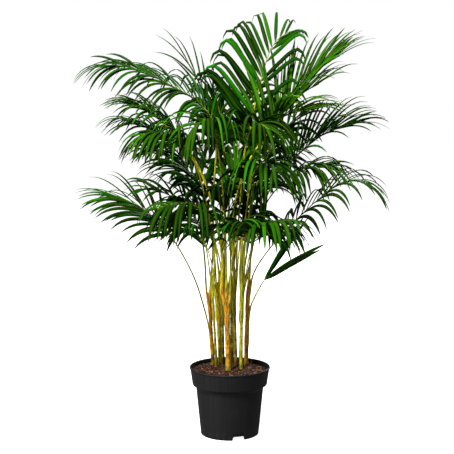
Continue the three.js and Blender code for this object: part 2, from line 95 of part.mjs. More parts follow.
  { name: 'frond_inner_centre', cane: 'cane_back_centre', stalk: 2.7, bare: 220.167, pairs: 12, longest: 190, broad: 14, lift: 5, droop: 2.8, roll: [0, 0], spread: [56, 22], foot: 0.75, tip: 0.5, bend: 1.5, keel: -1, heading: null, dark: true, path: [[4.3, 31.6, 421.1], [4.0, 29.5, 444.4], [3.7, 26.6, 467.6], [3.4, 22.7, 490.8], [2.7, 18.4, 513.8], [1.8, 14.0, 536.8], [0.5, 9.8, 559.8], [-1.4, 5.4, 582.7], [-3.7, 0.9, 605.5], [-7.1, -4.0, 628.2], [-10.7, -9.4, 650.7], [-14.5, -16.9, 672.6], [-18.8, -25.8, 693.8], [-24.7, -36.3, 713.9], [-32.8, -49.1, 731.6], [-43.9, -66.0, 743.1], [-57.5, -84.9, 743.4]], set: 'hd-1k-ol-k9k2-0l1l000-2-' },
  { name: 'frond_inner_back', cane: 'cane_centre_right', stalk: 2.7, bare: 233.85, pairs: 12, longest: 185, broad: 13, lift: 5, droop: 2.6, roll: [0, 0], spread: [58, 22], foot: 0.75, tip: 0.5, bend: 1.5, keel: -1, heading: null, dark: true, path: [[19.3, -8.5, 402.5], [19.8, -9.0, 426.6], [20.6, -9.5, 450.7], [21.7, -9.8, 474.8], [23.1, -9.9, 498.8], [24.5, -9.9, 522.9], [26.4, -9.4, 546.9], [28.9, -8.5, 570.9], [32.1, -7.2, 594.8], [36.9, -4.4, 618.2], [41.5, -1.6, 641.7], [46.4, 1.4, 665.1], [53.8, 5.7, 687.7], [64.2, 11.7, 708.5], [78.8, 20.0, 725.6], [98.4, 30.7, 734.2], [119.1, 42.0, 729.8]], set: '0-0m0o050o0o1-1-188--ljj' },
  { name: 'frond_low_star', cane: 'cane_front_centre', stalk: 2.8, bare: 254.697, pairs: 12, longest: 165, broad: 12.5, lift: 14, droop: 1.6, roll: [0, 0], spread: [64, 20], foot: 0.85, tip: 0.6, bend: 1.5, keel: -1, heading: null, dark: false, path: [[3.3, -44.6, 369.4], [3.0, -47.6, 392.0], [2.7, -51.5, 414.3], [2.2, -56.9, 436.4], [2.1, -62.9, 458.4], [2.2, -68.8, 480.3], [3.4, -74.5, 502.3], [5.3, -80.0, 524.3], [7.9, -85.8, 546.1], [11.2, -94.3, 567.0], [14.6, -103.9, 587.3], [18.3, -114.7, 606.9], [22.2, -128.0, 625.0], [26.3, -144.8, 639.6], [29.9, -164.0, 651.2], [32.9, -185.4, 658.2], [34.7, -208.0, 659.4]], set: '0001042438c464c263c22b-1' },
  { name: 'frond_centre_hang', cane: 'cane_front_left', stalk: 2.8, bare: 285.615, pairs: 13, longest: 195, broad: 12.5, lift: 8, droop: 2.0, roll: [0, 0], spread: [44, 18], foot: 0.75, tip: 0.5, bend: 2.2, keel: -1, heading: null, dark: false, path: [[-27.2, -10.0, 429.5], [-26.8, -11.9, 455.6], [-26.0, -14.4, 481.7], [-24.8, -17.1, 507.7], [-23.1, -19.3, 533.8], [-20.2, -18.9, 559.8], [-16.7, -17.6, 585.7], [-12.9, -16.0, 611.6], [-8.7, -14.4, 637.4], [-5.0, -11.7, 663.2], [-1.7, -8.5, 689.0], [1.8, -5.2, 714.8], [6.2, -1.5, 740.4], [11.5, 3.2, 765.6], [18.8, 10.1, 789.7], [30.8, 22.8, 808.6], [48.6, 40.7, 803.9]], set: '0000101223030022020800-0-1' },
  { name: 'frond_mid_left_hang', cane: 'cane_left_slender', stalk: 2.8, bare: 294.389, pairs: 13, longest: 190, broad: 12.5, lift: 14, droop: 1.3, roll: [14, 4], spread: [46, 18], foot: 0.75, tip: 0.5, bend: 2.0, keel: 1, heading: null, dark: false, path: [[-55.6, -35.4, 411.7], [-55.2, -34.8, 439.5], [-55.0, -33.5, 467.2], [-53.9, -31.8, 494.9], [-51.2, -29.8, 522.4], [-50.2, -27.9, 550.1], [-51.1, -25.7, 577.8], [-53.2, -23.3, 605.4], [-56.0, -20.8, 632.9], [-60.5, -18.1, 660.1], [-66.1, -15.1, 687.2], [-72.7, -12.0, 714.0], [-82.4, -8.1, 739.7], [-96.0, -2.5, 763.2], [-115.2, 4.7, 781.7], [-140.1, 13.0, 789.6], [-165.5, 22.0, 783.4]], set: '0700000e03030i270000000000' },
  { name: 'frond_mid_right_hang', cane: 'cane_back_centre', stalk: 2.8, bare: 278.853, pairs: 12, longest: 185, broad: 12.5, lift: 6, droop: 2.8, roll: [0, 0], spread: [58, 22], foot: 0.75, tip: 0.5, bend: 1.5, keel: -1, heading: null, dark: false, path: [[12.5, 34.5, 405.2], [12.5, 31.5, 430.4], [12.5, 27.7, 455.4], [12.4, 22.6, 480.3], [13.1, 17.2, 505.0], [14.6, 12.1, 529.8], [17.7, 7.6, 554.6], [22.2, 3.8, 579.2], [27.3, 0.1, 603.8], [33.3, -4.7, 627.9], [40.9, -9.7, 651.6], [49.4, -14.8, 674.9], [58.4, -22.2, 697.4], [69.0, -32.4, 718.0], [82.5, -45.7, 734.6], [99.5, -62.5, 742.3], [114.8, -82.0, 737.5]], set: 'b0-0l5o60lc42m31310hh7--' },
  { name: 'frond_inner_low_left', cane: 'cane_front_left', stalk: 2.6, bare: 193.781, pairs: 11, longest: 165, broad: 12, lift: 8, droop: 1.7, roll: [0, 0], spread: [54, 20], foot: 0.75, tip: 0.5, bend: 2.0, keel: -1, heading: null, dark: false, path: [[-40.9, 6.1, 378.6], [-42.8, 2.6, 398.4], [-44.8, -1.6, 418.0], [-47.0, -11.2, 435.6], [-48.6, -21.1, 453.1], [-48.3, -30.1, 471.2], [-48.9, -37.9, 489.7], [-51.5, -42.2, 509.3], [-54.9, -46.6, 528.7], [-59.9, -51.3, 547.6], [-65.5, -56.3, 566.4], [-73.3, -62.9, 583.7], [-83.4, -71.1, 599.2], [-95.7, -80.8, 611.9], [-111.2, -91.0, 619.4], [-128.3, -101.6, 620.3], [-145.0, -112.0, 615.9]], set: '008045470408020000000n' },
  { name: 'frond_back_low_right', cane: 'cane_back_right', stalk: 2.6, bare: 204.693, pairs: 11, longest: 180, broad: 14, lift: 10, droop: 2.2, roll: [0, 0], spread: [60, 22], foot: 0.75, tip: 0.5, bend: 1.5, keel: -1, heading: null, dark: true, path: [[39.3, 55.4, 366.6], [40.7, 57.2, 390.3], [42.6, 59.7, 413.9], [45.4, 63.9, 437.1], [48.5, 69.4, 460.1], [51.7, 75.8, 482.8], [55.6, 86.8, 503.4], [59.9, 99.0, 523.4], [65.9, 114.1, 540.8], [72.2, 129.6, 557.7], [80.4, 147.0, 571.7], [90.3, 165.3, 583.3], [102.2, 184.5, 590.5], [115.7, 203.9, 593.1], [129.9, 222.8, 591.1], [144.4, 240.2, 583.8], [158.7, 256.0, 573.2]], set: '0200000100000000050002' },
];

// small departures of a leaflet from its row: spread, lift, length, droop
const STANCES = [[0, 0, 1, 1], [7, 0, 1, 1], [-7, 0, 1, 1], [0, 9, 1, 1], [0, -9, 1, 1.0], [8, 9, 1, 1.1], [-8, -9, 1, 0.9], [13, 0, 0.95, 1.2], [-13, 0, 0.95, 0.8], [0, 17, 0.95, 1.0], [0, -17, 0.95, 1.0], [10, -14, 0.9, 1.3], [-10, 14, 0.9, 0.7], [18, 14, 0.85, 0.6], [-18, -14, 0.85, 1.5], [22, 0, 0.8, 1.0], [-20, 22, 0.8, 1.0], [0, 28, 0.75, 0.5], [0, -28, 0.75, 1.4], [26, 20, 0.65, 0.5], [-24, -24, 0.65, 0.8], [12, 34, 0.6, 0.4], [14, -34, 0.6, 0.9], [30, -10, 0.5, 0.3], [-26, 30, 0.5, 0.3]];

// ---- helpers -----------------------------------------------------------------
const wasm = await Module();
wasm.setup();
const UP = new THREE.Vector3(0, 0, 1);
const vec = (a) => new THREE.Vector3(a[0], a[1], a[2]);
const add = (...v) => v.reduce((s, x) => s.add(x), new THREE.Vector3());
const mul = (v, k) => v.clone().multiplyScalar(k);
const sub = (a, b) => a.clone().sub(b);
const cross = (a, b) => new THREE.Vector3().crossVectors(a, b);
const rad = (d) => (d * Math.PI) / 180;
const clamp01 = (x) => Math.min(1, Math.max(0, x));

// repeatable scatter in 0..1 from three whole numbers
function scatter(i, j, k) {
  let h = Math.imul(i + 1, 374761393) ^ Math.imul(j + 1, 668265263) ^ Math.imul(k + 1, 1274126177);
  h >>>= 0;
  h = Math.imul(h ^ (h >>> 13), 1103515245) >>> 0;
  h = Math.imul(h ^ (h >>> 15), 2246822519) >>> 0;
  return ((h ^ (h >>> 16)) >>> 0) / 4294967296;
}

// curve through the given points, as a polyline with its running length
function curveThrough(points, perSpan) {
  const p = points.map(vec);
  const q = [sub(mul(p[0], 2), p[1]), ...p, sub(mul(p[p.length - 1], 2), p[p.length - 2])];
  const line = [];
  for (let i = 1; i < q.length - 2; i++) {
    for (let k = 0; k < perSpan; k++) {
      const t = k / perSpan, t2 = t * t, t3 = t2 * t;
      line.push(add(
        mul(q[i - 1], 0.5 * (-t + 2 * t2 - t3)),
        mul(q[i], 0.5 * (2 - 5 * t2 + 3 * t3)),
        mul(q[i + 1], 0.5 * (t + 4 * t2 - 3 * t3)),
        mul(q[i + 2], 0.5 * (-t2 + t3)),
      ));
    }
  }
  line.push(q[q.length - 2].clone());
  const run = [0];
  for (let i = 1; i < line.length; i++) run.push(run[i - 1] + line[i].distanceTo(line[i - 1]));
  const length = run[run.length - 1];
  const at = (s) => {
    const x = Math.min(length, Math.max(0, s));
    let i = 1;
    while (i < run.length - 1 && run[i] < x) i++;
    const f = (x - run[i - 1]) / (run[i] - run[i - 1]);
    return add(mul(line[i - 1], 1 - f), mul(line[i], f));
  };
  const tangent = (s) => sub(at(s + 4), at(s - 4)).normalize();
  return { length, at, tangent };
}

function geometryFrom(vertices, faces) {
  const g = new THREE.BufferGeometry();
  g.setAttribute('position', new THREE.Float32BufferAttribute(vertices.flatMap((v) => [v.x, v.y, v.z]), 3));
  g.setIndex(faces.flat());
  g.computeVertexNormals();
  return g;
}

function toSolid(geometry) {
  const g = geometry.clone();
  g.deleteAttribute('normal');
  g.deleteAttribute('uv');
  const m = mergeVertices(g, 1e-3);
  const idx = [];
  const src = m.index.array;
  for (let i = 0; i < src.length; i += 3) {
    const [a, b, c] = [src[i], src[i + 1], src[i + 2]];
    if (a !== b && b !== c && c !== a) idx.push(a, b, c);
  }
  return new wasm.Manifold(new wasm.Mesh({
    numProp: 3,
    vertProperties: new Float32Array(m.attributes.position.array),
    triVerts: new Uint32Array(idx),
  }));
}

function fromSolid(solid) {
  const m = solid.getMesh();
  const g = new THREE.BufferGeometry();
  g.setAttribute('position', new THREE.Float32BufferAttribute(Array.from(m.vertProperties), 3));
  g.setIndex(Array.from(m.triVerts));
  g.computeVertexNormals();
  return g;
}

// lathe about +Z from [radius, height] pairs that start and end on the axis
function turned(profile, sides) {
  const g = new THREE.LatheGeometry(profile.map(([r, z]) => new THREE.Vector2(r, z)), sides);
  g.rotateX(Math.PI / 2); // the lathe's Y axis becomes +Z
  return g;
}

// closed round tube through stations { p, r }, sections square to the curve
function tube(curve, stations, sides, grow = 0) {
  const V = [], F = [];
  stations.forEach(([s, r]) => {
    const T = curve.tangent(s);
    const A = cross(T, new THREE.Vector3(0.2, 1, 0)).normalize();
    const B = cross(T, A);
    const c = curve.at(s);
    for (let k = 0; k < sides; k++) {
      const a = (2 * Math.PI * k) / sides;
      V.push(add(c, mul(A, (r + grow) * Math.cos(a)), mul(B, (r + grow) * Math.sin(a))));
    }
  });
  const n = stations.length;
  for (let i = 0; i < n - 1; i++) {
    for (let k = 0; k < sides; k++) {
      const k2 = (k + 1) % sides, a = i * sides + k, b = i * sides + k2;
      F.push([a, b, b + sides], [a, b + sides, a + sides]);
    }
  }
  for (let k = 1; k < sides - 1; k++) {
    F.push([0, k + 1, k]);
    const o = (n - 1) * sides;
    F.push([o, o + k, o + k + 1]);
  }
  return geometryFrom(V, F);
}

// ---- materials -----------------------------------------------------------------
const potPlastic = new THREE.MeshStandardMaterial({ color: 0x232323, roughness: 0.6, metalness: 0 });
const soilMix = new THREE.MeshStandardMaterial({ color: 0x4a2c1c, roughness: 0.95, metalness: 0 });
const greenLeaf = new THREE.MeshStandardMaterial({ color: 0x2f7a22, roughness: 0.42, metalness: 0 });
const darkLeaf = new THREE.MeshStandardMaterial({ color: 0x1d4d1a, roughness: 0.42, metalness: 0 });
const goldenCane = new THREE.MeshStandardMaterial({ color: 0xb98a35, roughness: 0.5, metalness: 0 });
const greenCane = new THREE.MeshStandardMaterial({ color: 0x8f9a3c, roughness: 0.5, metalness: 0 });

const palm = new THREE.Group();
function piece(name, geometry, material) {
  const m = new THREE.Mesh(geometry, material);
  m.name = name;
  palm.add(m);
}

// ---- pot: foot ring, raised base plate with a central pad, body, shoulder, collar, lip
function pot() {
  const w = POT_WALL, top = POT_HEIGHT;
  const plate = POT_FOOT + w;
  const bodyR = (z) => POT_BASE_R + ((POT_BODY_TOP_R - POT_BASE_R) * z) / POT_BODY_Z;
  const profile = [
    [0, 0], [POT_PAD_R, 0], [POT_PAD_R + 2, POT_FOOT],
    [bodyR(POT_FOOT) - w, POT_FOOT], [bodyR(0) - w + 0.3, 0], [POT_BASE_R - 1.2, 0],
    [POT_BASE_R, 2],
    [POT_BODY_TOP_R, POT_BODY_Z], [POT_COLLAR_LOW_R - 1.6, POT_COLLAR_Z - 3], [POT_COLLAR_LOW_R, POT_COLLAR_Z],
    [POT_COLLAR_TOP_R, top - 6.5], [POT_RIM_R, top - 5], [POT_RIM_R, top - 1], [POT_RIM_R - 1.2, top],
    [POT_RIM_R - 3.4, top], [POT_COLLAR_TOP_R - w - 0.4, top - 2],
    [POT_COLLAR_LOW_R - w, POT_COLLAR_Z + 1.5], [POT_BODY_TOP_R - w, POT_BODY_Z + 1.5],
    [bodyR(plate + 3) - w, plate + 3], [bodyR(plate) - w - 3, plate],
    [POT_PAD_R, plate], [POT_PAD_R - 2, w], [0, w],
  ];
  let body = toSolid(turned(profile, POT_SIDES));
  for (const a of NOTCH_ANGLES) {
    const cut = new THREE.BoxGeometry(16, NOTCH_WIDTH, POT_FOOT);
    cut.translate(POT_BASE_R - 2, 0, POT_FOOT / 2 - 0.2);
    cut.rotateZ(rad(a));
    body = body.subtract(toSolid(cut));
  }
  for (let i = 0; i < DRAIN_COUNT; i++) {
    const cut = new THREE.CylinderGeometry(DRAIN_R, DRAIN_R, 20, 12);
    cut.rotateX(Math.PI / 2);
    cut.translate(DRAIN_RING_R, 0, POT_FOOT + w / 2);
    cut.rotateZ(rad(22.5 + (360 * i) / DRAIN_COUNT));
    body = body.subtract(toSolid(cut));
  }
  return body;
}
piece('pot', fromSolid(pot()), potPlastic);

// ---- canes -----------------------------------------------------------------------
function caneStations(c, curve, grow) {
  const st = [];
  const soilTop = SOIL_EDGE_Z + SOIL_MOUND;
  const n = CANE_STEPS;
  for (let i = 0; i <= n; i++) {
    const s = (curve.length * i) / n;
    const above = clamp01((curve.at(s).z - soilTop) / (vec(c.path[c.path.length - 1]).z - soilTop));
    let r = c.foot + (c.top - c.foot) * above;
    if (i % 2 === 1) r *= CANE_NODE_SWELL; // leaf-scar ring
    if (i === n) r *= 0.55; // the cane ends in a rounded growing point
    if (i === n - 1) r = Math.min(r, c.top);
    st.push([s, r + grow]);
  }
  return st;
}
const caneHoles = [];
for (const c of CANES) {
  const curve = curveThrough(c.path, 10);
  piece(c.name, tube(curve, caneStations(c, curve, 0), CANE_SIDES), c.golden ? goldenCane : greenCane);
  caneHoles.push({ c, curve });
}

// ---- potting soil ------------------------------------------------------------------
function soil() {
  const w = POT_WALL + GAP, plate = POT_FOOT + POT_WALL + GAP;
  const bodyR = (z) => POT_BASE_R + ((POT_BODY_TOP_R - POT_BASE_R) * z) / POT_BODY_Z;
  const slope = (POT_COLLAR_TOP_R - 0.4 - POT_COLLAR_LOW_R) / (POT_HEIGHT - 2 - POT_COLLAR_Z - 1.5);
  const collarR = (z) => POT_COLLAR_LOW_R + slope * (z - POT_COLLAR_Z - 1.5);
  const profile = [
    [0, plate], [bodyR(plate) - w - 3.6, plate], [bodyR(plate + 3) - w - 0.3, plate + 3.4],
    [POT_BODY_TOP_R - w - 0.5, POT_BODY_Z + 1.2], [POT_COLLAR_LOW_R - w - 0.9, POT_COLLAR_Z + 2],
    [collarR(SOIL_EDGE_Z) - w - 0.8, SOIL_EDGE_Z],
    [94, SOIL_EDGE_Z + 2.2], [64, SOIL_EDGE_Z + 6.5], [0, SOIL_EDGE_Z + SOIL_MOUND],
  ];
  const g = turned(profile, SOIL_SIDES);
  // the loose surface is slightly uneven
  const pos = g.attributes.position;
  for (let i = 0; i < pos.count; i++) {
    const x = pos.getX(i), y = pos.getY(i), z = pos.getZ(i), r = Math.hypot(x, y);
    if (z > SOIL_EDGE_Z + 1 && r > 1) {
      pos.setZ(i, z + 1.5 * Math.sin(x * 0.06 + 1) * Math.cos(y * 0.07) * Math.min(1, (110 - r) / 30));
    }
  }
  let body = toSolid(g);
  for (const { c, curve } of caneHoles) {
    // a straight socket along the cane's foot, with clearance all round and below
    const T = curve.tangent(14), r = c.foot * CANE_NODE_SWELL + GAP + 0.5;
    const hole = new THREE.CylinderGeometry(r, r, 62, 10);
    hole.applyQuaternion(new THREE.Quaternion().setFromUnitVectors(new THREE.Vector3(0, 1, 0), T));
    const mid = add(curve.at(0), mul(T, 30));
    hole.translate(mid.x, mid.y, mid.z);
    body = body.subtract(toSolid(hole));
  }
  return body;
}
piece('potting_soil', fromSolid(soil()), soilMix);

// ---- fronds ----------------------------------------------------------------------------
// leaflet length along the blade, as a share of the longest
function lengthShare(u, foot, tip) {
  if (u < 0.38) {
    const v = u / 0.38;
    return foot + (1 - foot) * (1 - (1 - v) ** 2);
  }
  return 1 + (tip - 1) * ((u - 0.38) / 0.62) ** 1.7;
}

function stalkOf(f) {
  const curve = curveThrough(f.path, 10);
  const L = curve.length, s0 = f.bare, n = f.pairs;
  const start = vec(f.path[0]), end = vec(f.path[f.path.length - 1]);
  const head = f.heading === null
    ? new THREE.Vector3(end.x - start.x, end.y - start.y, 0).normalize()
    : new THREE.Vector3(Math.cos(rad(f.heading)), Math.sin(rad(f.heading)), 0);
  const sideways = cross(head, UP);
  const radius = (s) => {
    if (s < s0) {
      const x = clamp01(s / s0);
      return f.stalk * (1 - 0.3 * x * x * (3 - 2 * x));
    }
    return Math.max(0.8, 0.7 * f.stalk * (1 - Math.min(1, (s - s0) / (L - s0))) ** 0.8);
  };
  const bareSteps = Math.max(4, Math.floor(s0 / 38 + 0.5));
  const s = [];
  for (let i = 0; i < bareSteps; i++) s.push((s0 * i) / bareSteps);
  for (let i = 0; i <= 2 * n; i++) s.push(s0 + (L - s0 - 3) * (i / (2 * n)));
  s.push(L);
  const stations = s.map((x) => {
    const T = curve.tangent(x), v = clamp01((x - s0) / (L - s0));
    const roll = rad(f.roll[0] + (f.roll[1] - f.roll[0]) * v);
    const S = sub(sideways, mul(T, sideways.dot(T))).normalize();
    const N = cross(S, T);
    return {
      p: curve.at(x), r: radius(x), T,
      S: add(mul(S, Math.cos(roll)), mul(N, Math.sin(roll))),
      N: sub(mul(N, Math.cos(roll)), mul(S, Math.sin(roll))),
    };
  });
  return { stations, bareSteps };
}

// the curve of one leaflet, with the direction across it at each step
function leaflet(f, index, stations, pair, side, k, stance) {
  const u = (pair + 0.25 + 0.5 * side) / f.pairs;
  const R = (j) => scatter(index, pair * 2 + side, j) - 0.5;
  const [spread, lift, long, hang] = STANCES[stance];
  const al = rad(f.spread[0] + (f.spread[1] - f.spread[0]) * u ** 1.1 + R(1) * 9 + spread);
  const ph = rad(f.lift * (1 - 0.35 * u) + R(2) * 14 + lift);
  const share = lengthShare(u, f.foot, f.tip);
  const L = f.longest * share * (0.93 + 0.14 * (R(3) + 0.5)) * long;
  const g = f.droop * (0.8 + 0.45 * (R(4) + 0.5)) * hang;
  const pw = f.bend + 0.6 * (R(5) + 0.5);
  const a = stations[k], b = stations[k + 1];
  const T = add(a.T, b.T).normalize();
  let S = add(a.S, b.S).normalize();
  S = sub(S, mul(T, S.dot(T))).normalize();
  const N = cross(S, T);
  const sd = side === 0 ? -1 : 1;
  const d0 = add(mul(T, Math.cos(al)), mul(S, Math.sin(al) * Math.cos(ph) * sd), mul(N, Math.sin(al) * Math.sin(ph)));
  const P0 = add(mul(a.p, 0.5), mul(b.p, 0.5), mul(add(mul(S, sd), mul(N, 0.3)), 0.275 * (a.r + b.r)));
  const tw = rad(18 * R(6) + 10);
  const pts = [P0], dirs = [];
  for (let j = 0; j < LEAFLET_STEPS; j++) {
    const q = (j + 0.5) / LEAFLET_STEPS;
    const d = sub(d0, mul(UP, g * q ** pw)).normalize();
    dirs.push(d);
    pts.push(add(pts[j], mul(d, L / LEAFLET_STEPS)));
  }
  let w = sub(T, mul(d0, T.dot(d0))).normalize();
  w = add(mul(w, Math.cos(tw)), mul(cross(d0, w), Math.sin(tw) * sd));
  const across = [];
  for (let j = 0; j <= LEAFLET_STEPS; j++) {
    let d;
    if (j === 0) d = dirs[0];
    else if (j >= LEAFLET_STEPS) d = dirs[LEAFLET_STEPS - 1];
    else d = add(dirs[j - 1], dirs[j]).normalize();
    w = sub(w, mul(d, w.dot(d))).normalize();
    across.push(w);
  }
  const broad = f.broad * (0.86 + 0.28 * (R(7) + 0.5)) * (0.55 + 0.45 * share);
  return { pts, dirs, across, broad };
}

function frond(f, index) {
  const { stations, bareSteps } = stalkOf(f);
  const V = [], F = [];
  const h = f.keel; // 1: the stalk's ridge is on top, -1: it is underneath
  for (const { p, r, S, N } of stations) {
    V.push(
      add(p, mul(N, 0.95 * r * h)),
      add(p, mul(S, -0.9 * r), mul(N, -0.45 * r * h)),
      add(p, mul(S, 0.9 * r), mul(N, -0.45 * r * h)),
    );
  }
  const n = stations.length;
  for (let i = 0; i < n - 1; i++) {
    const t0 = 3 * i, l0 = t0 + 1, r0 = t0 + 2, t1 = t0 + 3, l1 = t0 + 4, r1 = t0 + 5;
    F.push([r1, t1, t0], [l1, t0, t1], [r1, r0, l0], [r1, l0, l1]);
    for (const side of [1, 0]) {
      const base = side === 1 ? [r0, r1, t0] : [l1, l0, t0];
      const order = i - bareSteps; // leaflets alternate: left on even steps, right on odd
      const letter = order >= 0 && order < 2 * f.pairs && order % 2 === side ? f.set[order] : '-';
      if (letter === '-') {
        F.push(base);
        continue;
      }
      const leaf = leaflet(f, index, stations, (order - side) / 2, side, i, parseInt(letter, 36));
      const m = LEAFLET_WAIST;
      const w = leaf.across[m];
      const d = add(leaf.dirs[m - 1], leaf.dirs[m]).normalize();
      const up = mul(cross(d, w), side === 1 ? h : -h);
      const c = leaf.pts[m], hw = leaf.broad * 0.47;
      const near = sub(c, mul(w, hw)), far = add(c, mul(w, hw)), keel = add(c, mul(up, LEAFLET_KEEL));
      const o = V.length;
      V.push(...(side === 1 ? [near, far, keel] : [far, near, keel]), leaf.pts[LEAFLET_STEPS]);
      for (let e = 0; e < 3; e++) {
        const y = (e + 1) % 3;
        F.push([base[e], base[y], o + y], [base[e], o + y, o + e]);
      }
      F.push([o, o + 1, o + 3], [o + 1, o + 2, o + 3], [o + 2, o, o + 3]);
    }
  }
  F.push([2, 0, 1]);
  const e = 3 * (n - 1);
  F.push([e, e + 2, e + 1]);
  if (h < 0) F.forEach((t) => t.reverse());
  return geometryFrom(V, F);
}
FRONDS.forEach((f, i) => piece(f.name, frond(f, i), f.dark ? darkLeaf : greenLeaf));

export default palm;
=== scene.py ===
# Looks for the potted areca palm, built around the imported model. Metres, +Z up.
# Tables of canes and fronds are in millimetres, as in the solid model.
import math

import bpy
import numpy as np
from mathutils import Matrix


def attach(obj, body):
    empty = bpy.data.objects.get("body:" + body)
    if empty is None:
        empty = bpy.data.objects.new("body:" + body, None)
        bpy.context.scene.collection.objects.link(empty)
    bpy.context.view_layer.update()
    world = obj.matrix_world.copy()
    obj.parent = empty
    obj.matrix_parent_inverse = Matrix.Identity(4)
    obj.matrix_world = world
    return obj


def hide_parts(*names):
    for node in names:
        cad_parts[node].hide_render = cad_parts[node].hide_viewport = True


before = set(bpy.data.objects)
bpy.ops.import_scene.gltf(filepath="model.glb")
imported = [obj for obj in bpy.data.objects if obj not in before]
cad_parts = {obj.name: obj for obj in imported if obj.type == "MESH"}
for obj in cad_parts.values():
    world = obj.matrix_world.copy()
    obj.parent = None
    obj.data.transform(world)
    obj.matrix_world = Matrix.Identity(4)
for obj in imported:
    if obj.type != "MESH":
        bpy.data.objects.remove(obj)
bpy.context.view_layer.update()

CANES = [
  {'name': "cane_front_centre", 'path': [[-3.8, -24.9, 175.0], [-4.7, -28.0, 229.9], [-6.3, -33.5, 284.6], [-7.9, -39.1, 339.3], [-9.5, -44.5, 394.1], [-11.1, -50.0, 448.8]], 'foot': 8.2, 'top': 7.0, 'golden': True},
  {'name': "cane_front_left", 'path': [[-27.8, 34.9, 175.0], [-29.1, 28.3, 230.5], [-31.4, 16.6, 285.1], [-33.7, 5.0, 339.8], [-35.9, -6.5, 394.4], [-38.2, -18.0, 449.1]], 'foot': 6.6, 'top': 5.6, 'golden': False},
  {'name': "cane_left", 'path': [[-50.6, 55.0, 175.0], [-51.9, 51.1, 225.1], [-54.4, 43.8, 274.8], [-56.9, 36.5, 324.5], [-59.3, 29.2, 374.2], [-61.8, 22.0, 423.9]], 'foot': 5.6, 'top': 5.0, 'golden': True},
  {'name': "cane_centre_right", 'path': [[18.8, 16.0, 175.0], [17.9, 11.4, 227.9], [16.4, 3.0, 280.4], [14.8, -5.4, 332.9], [13.3, -13.7, 385.3], [11.8, -22.0, 437.8]], 'foot': 5.2, 'top': 4.6, 'golden': False},
  {'name': "cane_front_right", 'path': [[33.5, -0.2, 175.0], [33.6, -5.1, 228.6], [33.8, -13.9, 281.7], [33.9, -22.7, 334.8], [34.1, -31.3, 388.0], [34.2, -40.0, 441.1]], 'foot': 5.6, 'top': 4.8, 'golden': False},
  {'name': "cane_right", 'path': [[49.3, 55.0, 175.0], [49.9, 48.4, 229.8], [50.9, 36.7, 283.7], [51.9, 25.0, 337.6], [52.9, 13.5, 391.5], [53.9, 2.0, 445.5]], 'foot': 7.0, 'top': 5.6, 'golden': True},
  {'name': "cane_back_left", 'path': [[-20.3, 55.0, 175.0], [-20.8, 52.4, 229.3], [-21.8, 47.8, 283.4], [-22.7, 43.1, 337.6], [-23.7, 38.6, 391.7], [-24.6, 34.0, 445.9]], 'foot': 5.8, 'top': 4.8, 'golden': False},
  {'name': "cane_back_centre", 'path': [[6.9, 55.0, 175.0], [6.8, 53.2, 229.0], [6.7, 49.8, 283.0], [6.5, 46.5, 337.0], [6.3, 43.3, 390.9], [6.1, 40.0, 444.9]], 'foot': 6.0, 'top': 5.0, 'golden': False},
  {'name': "cane_back_right", 'path': [[32.6, 55.0, 175.0], [33.1, 53.4, 227.7], [33.8, 50.5, 280.4], [34.6, 47.7, 333.1], [35.3, 44.8, 385.8], [36.1, 42.0, 438.5]], 'foot': 5.6, 'top': 4.8, 'golden': False},
  {'name': "cane_left_slender", 'path': [[-39.7, 21.1, 175.0], [-40.8, 13.8, 223.5], [-42.9, -0.3, 270.5], [-45.0, -14.3, 317.6], [-47.1, -28.2, 364.6], [-49.2, -42.0, 411.7]], 'foot': 4.2, 'top': 3.6, 'golden': False},
]

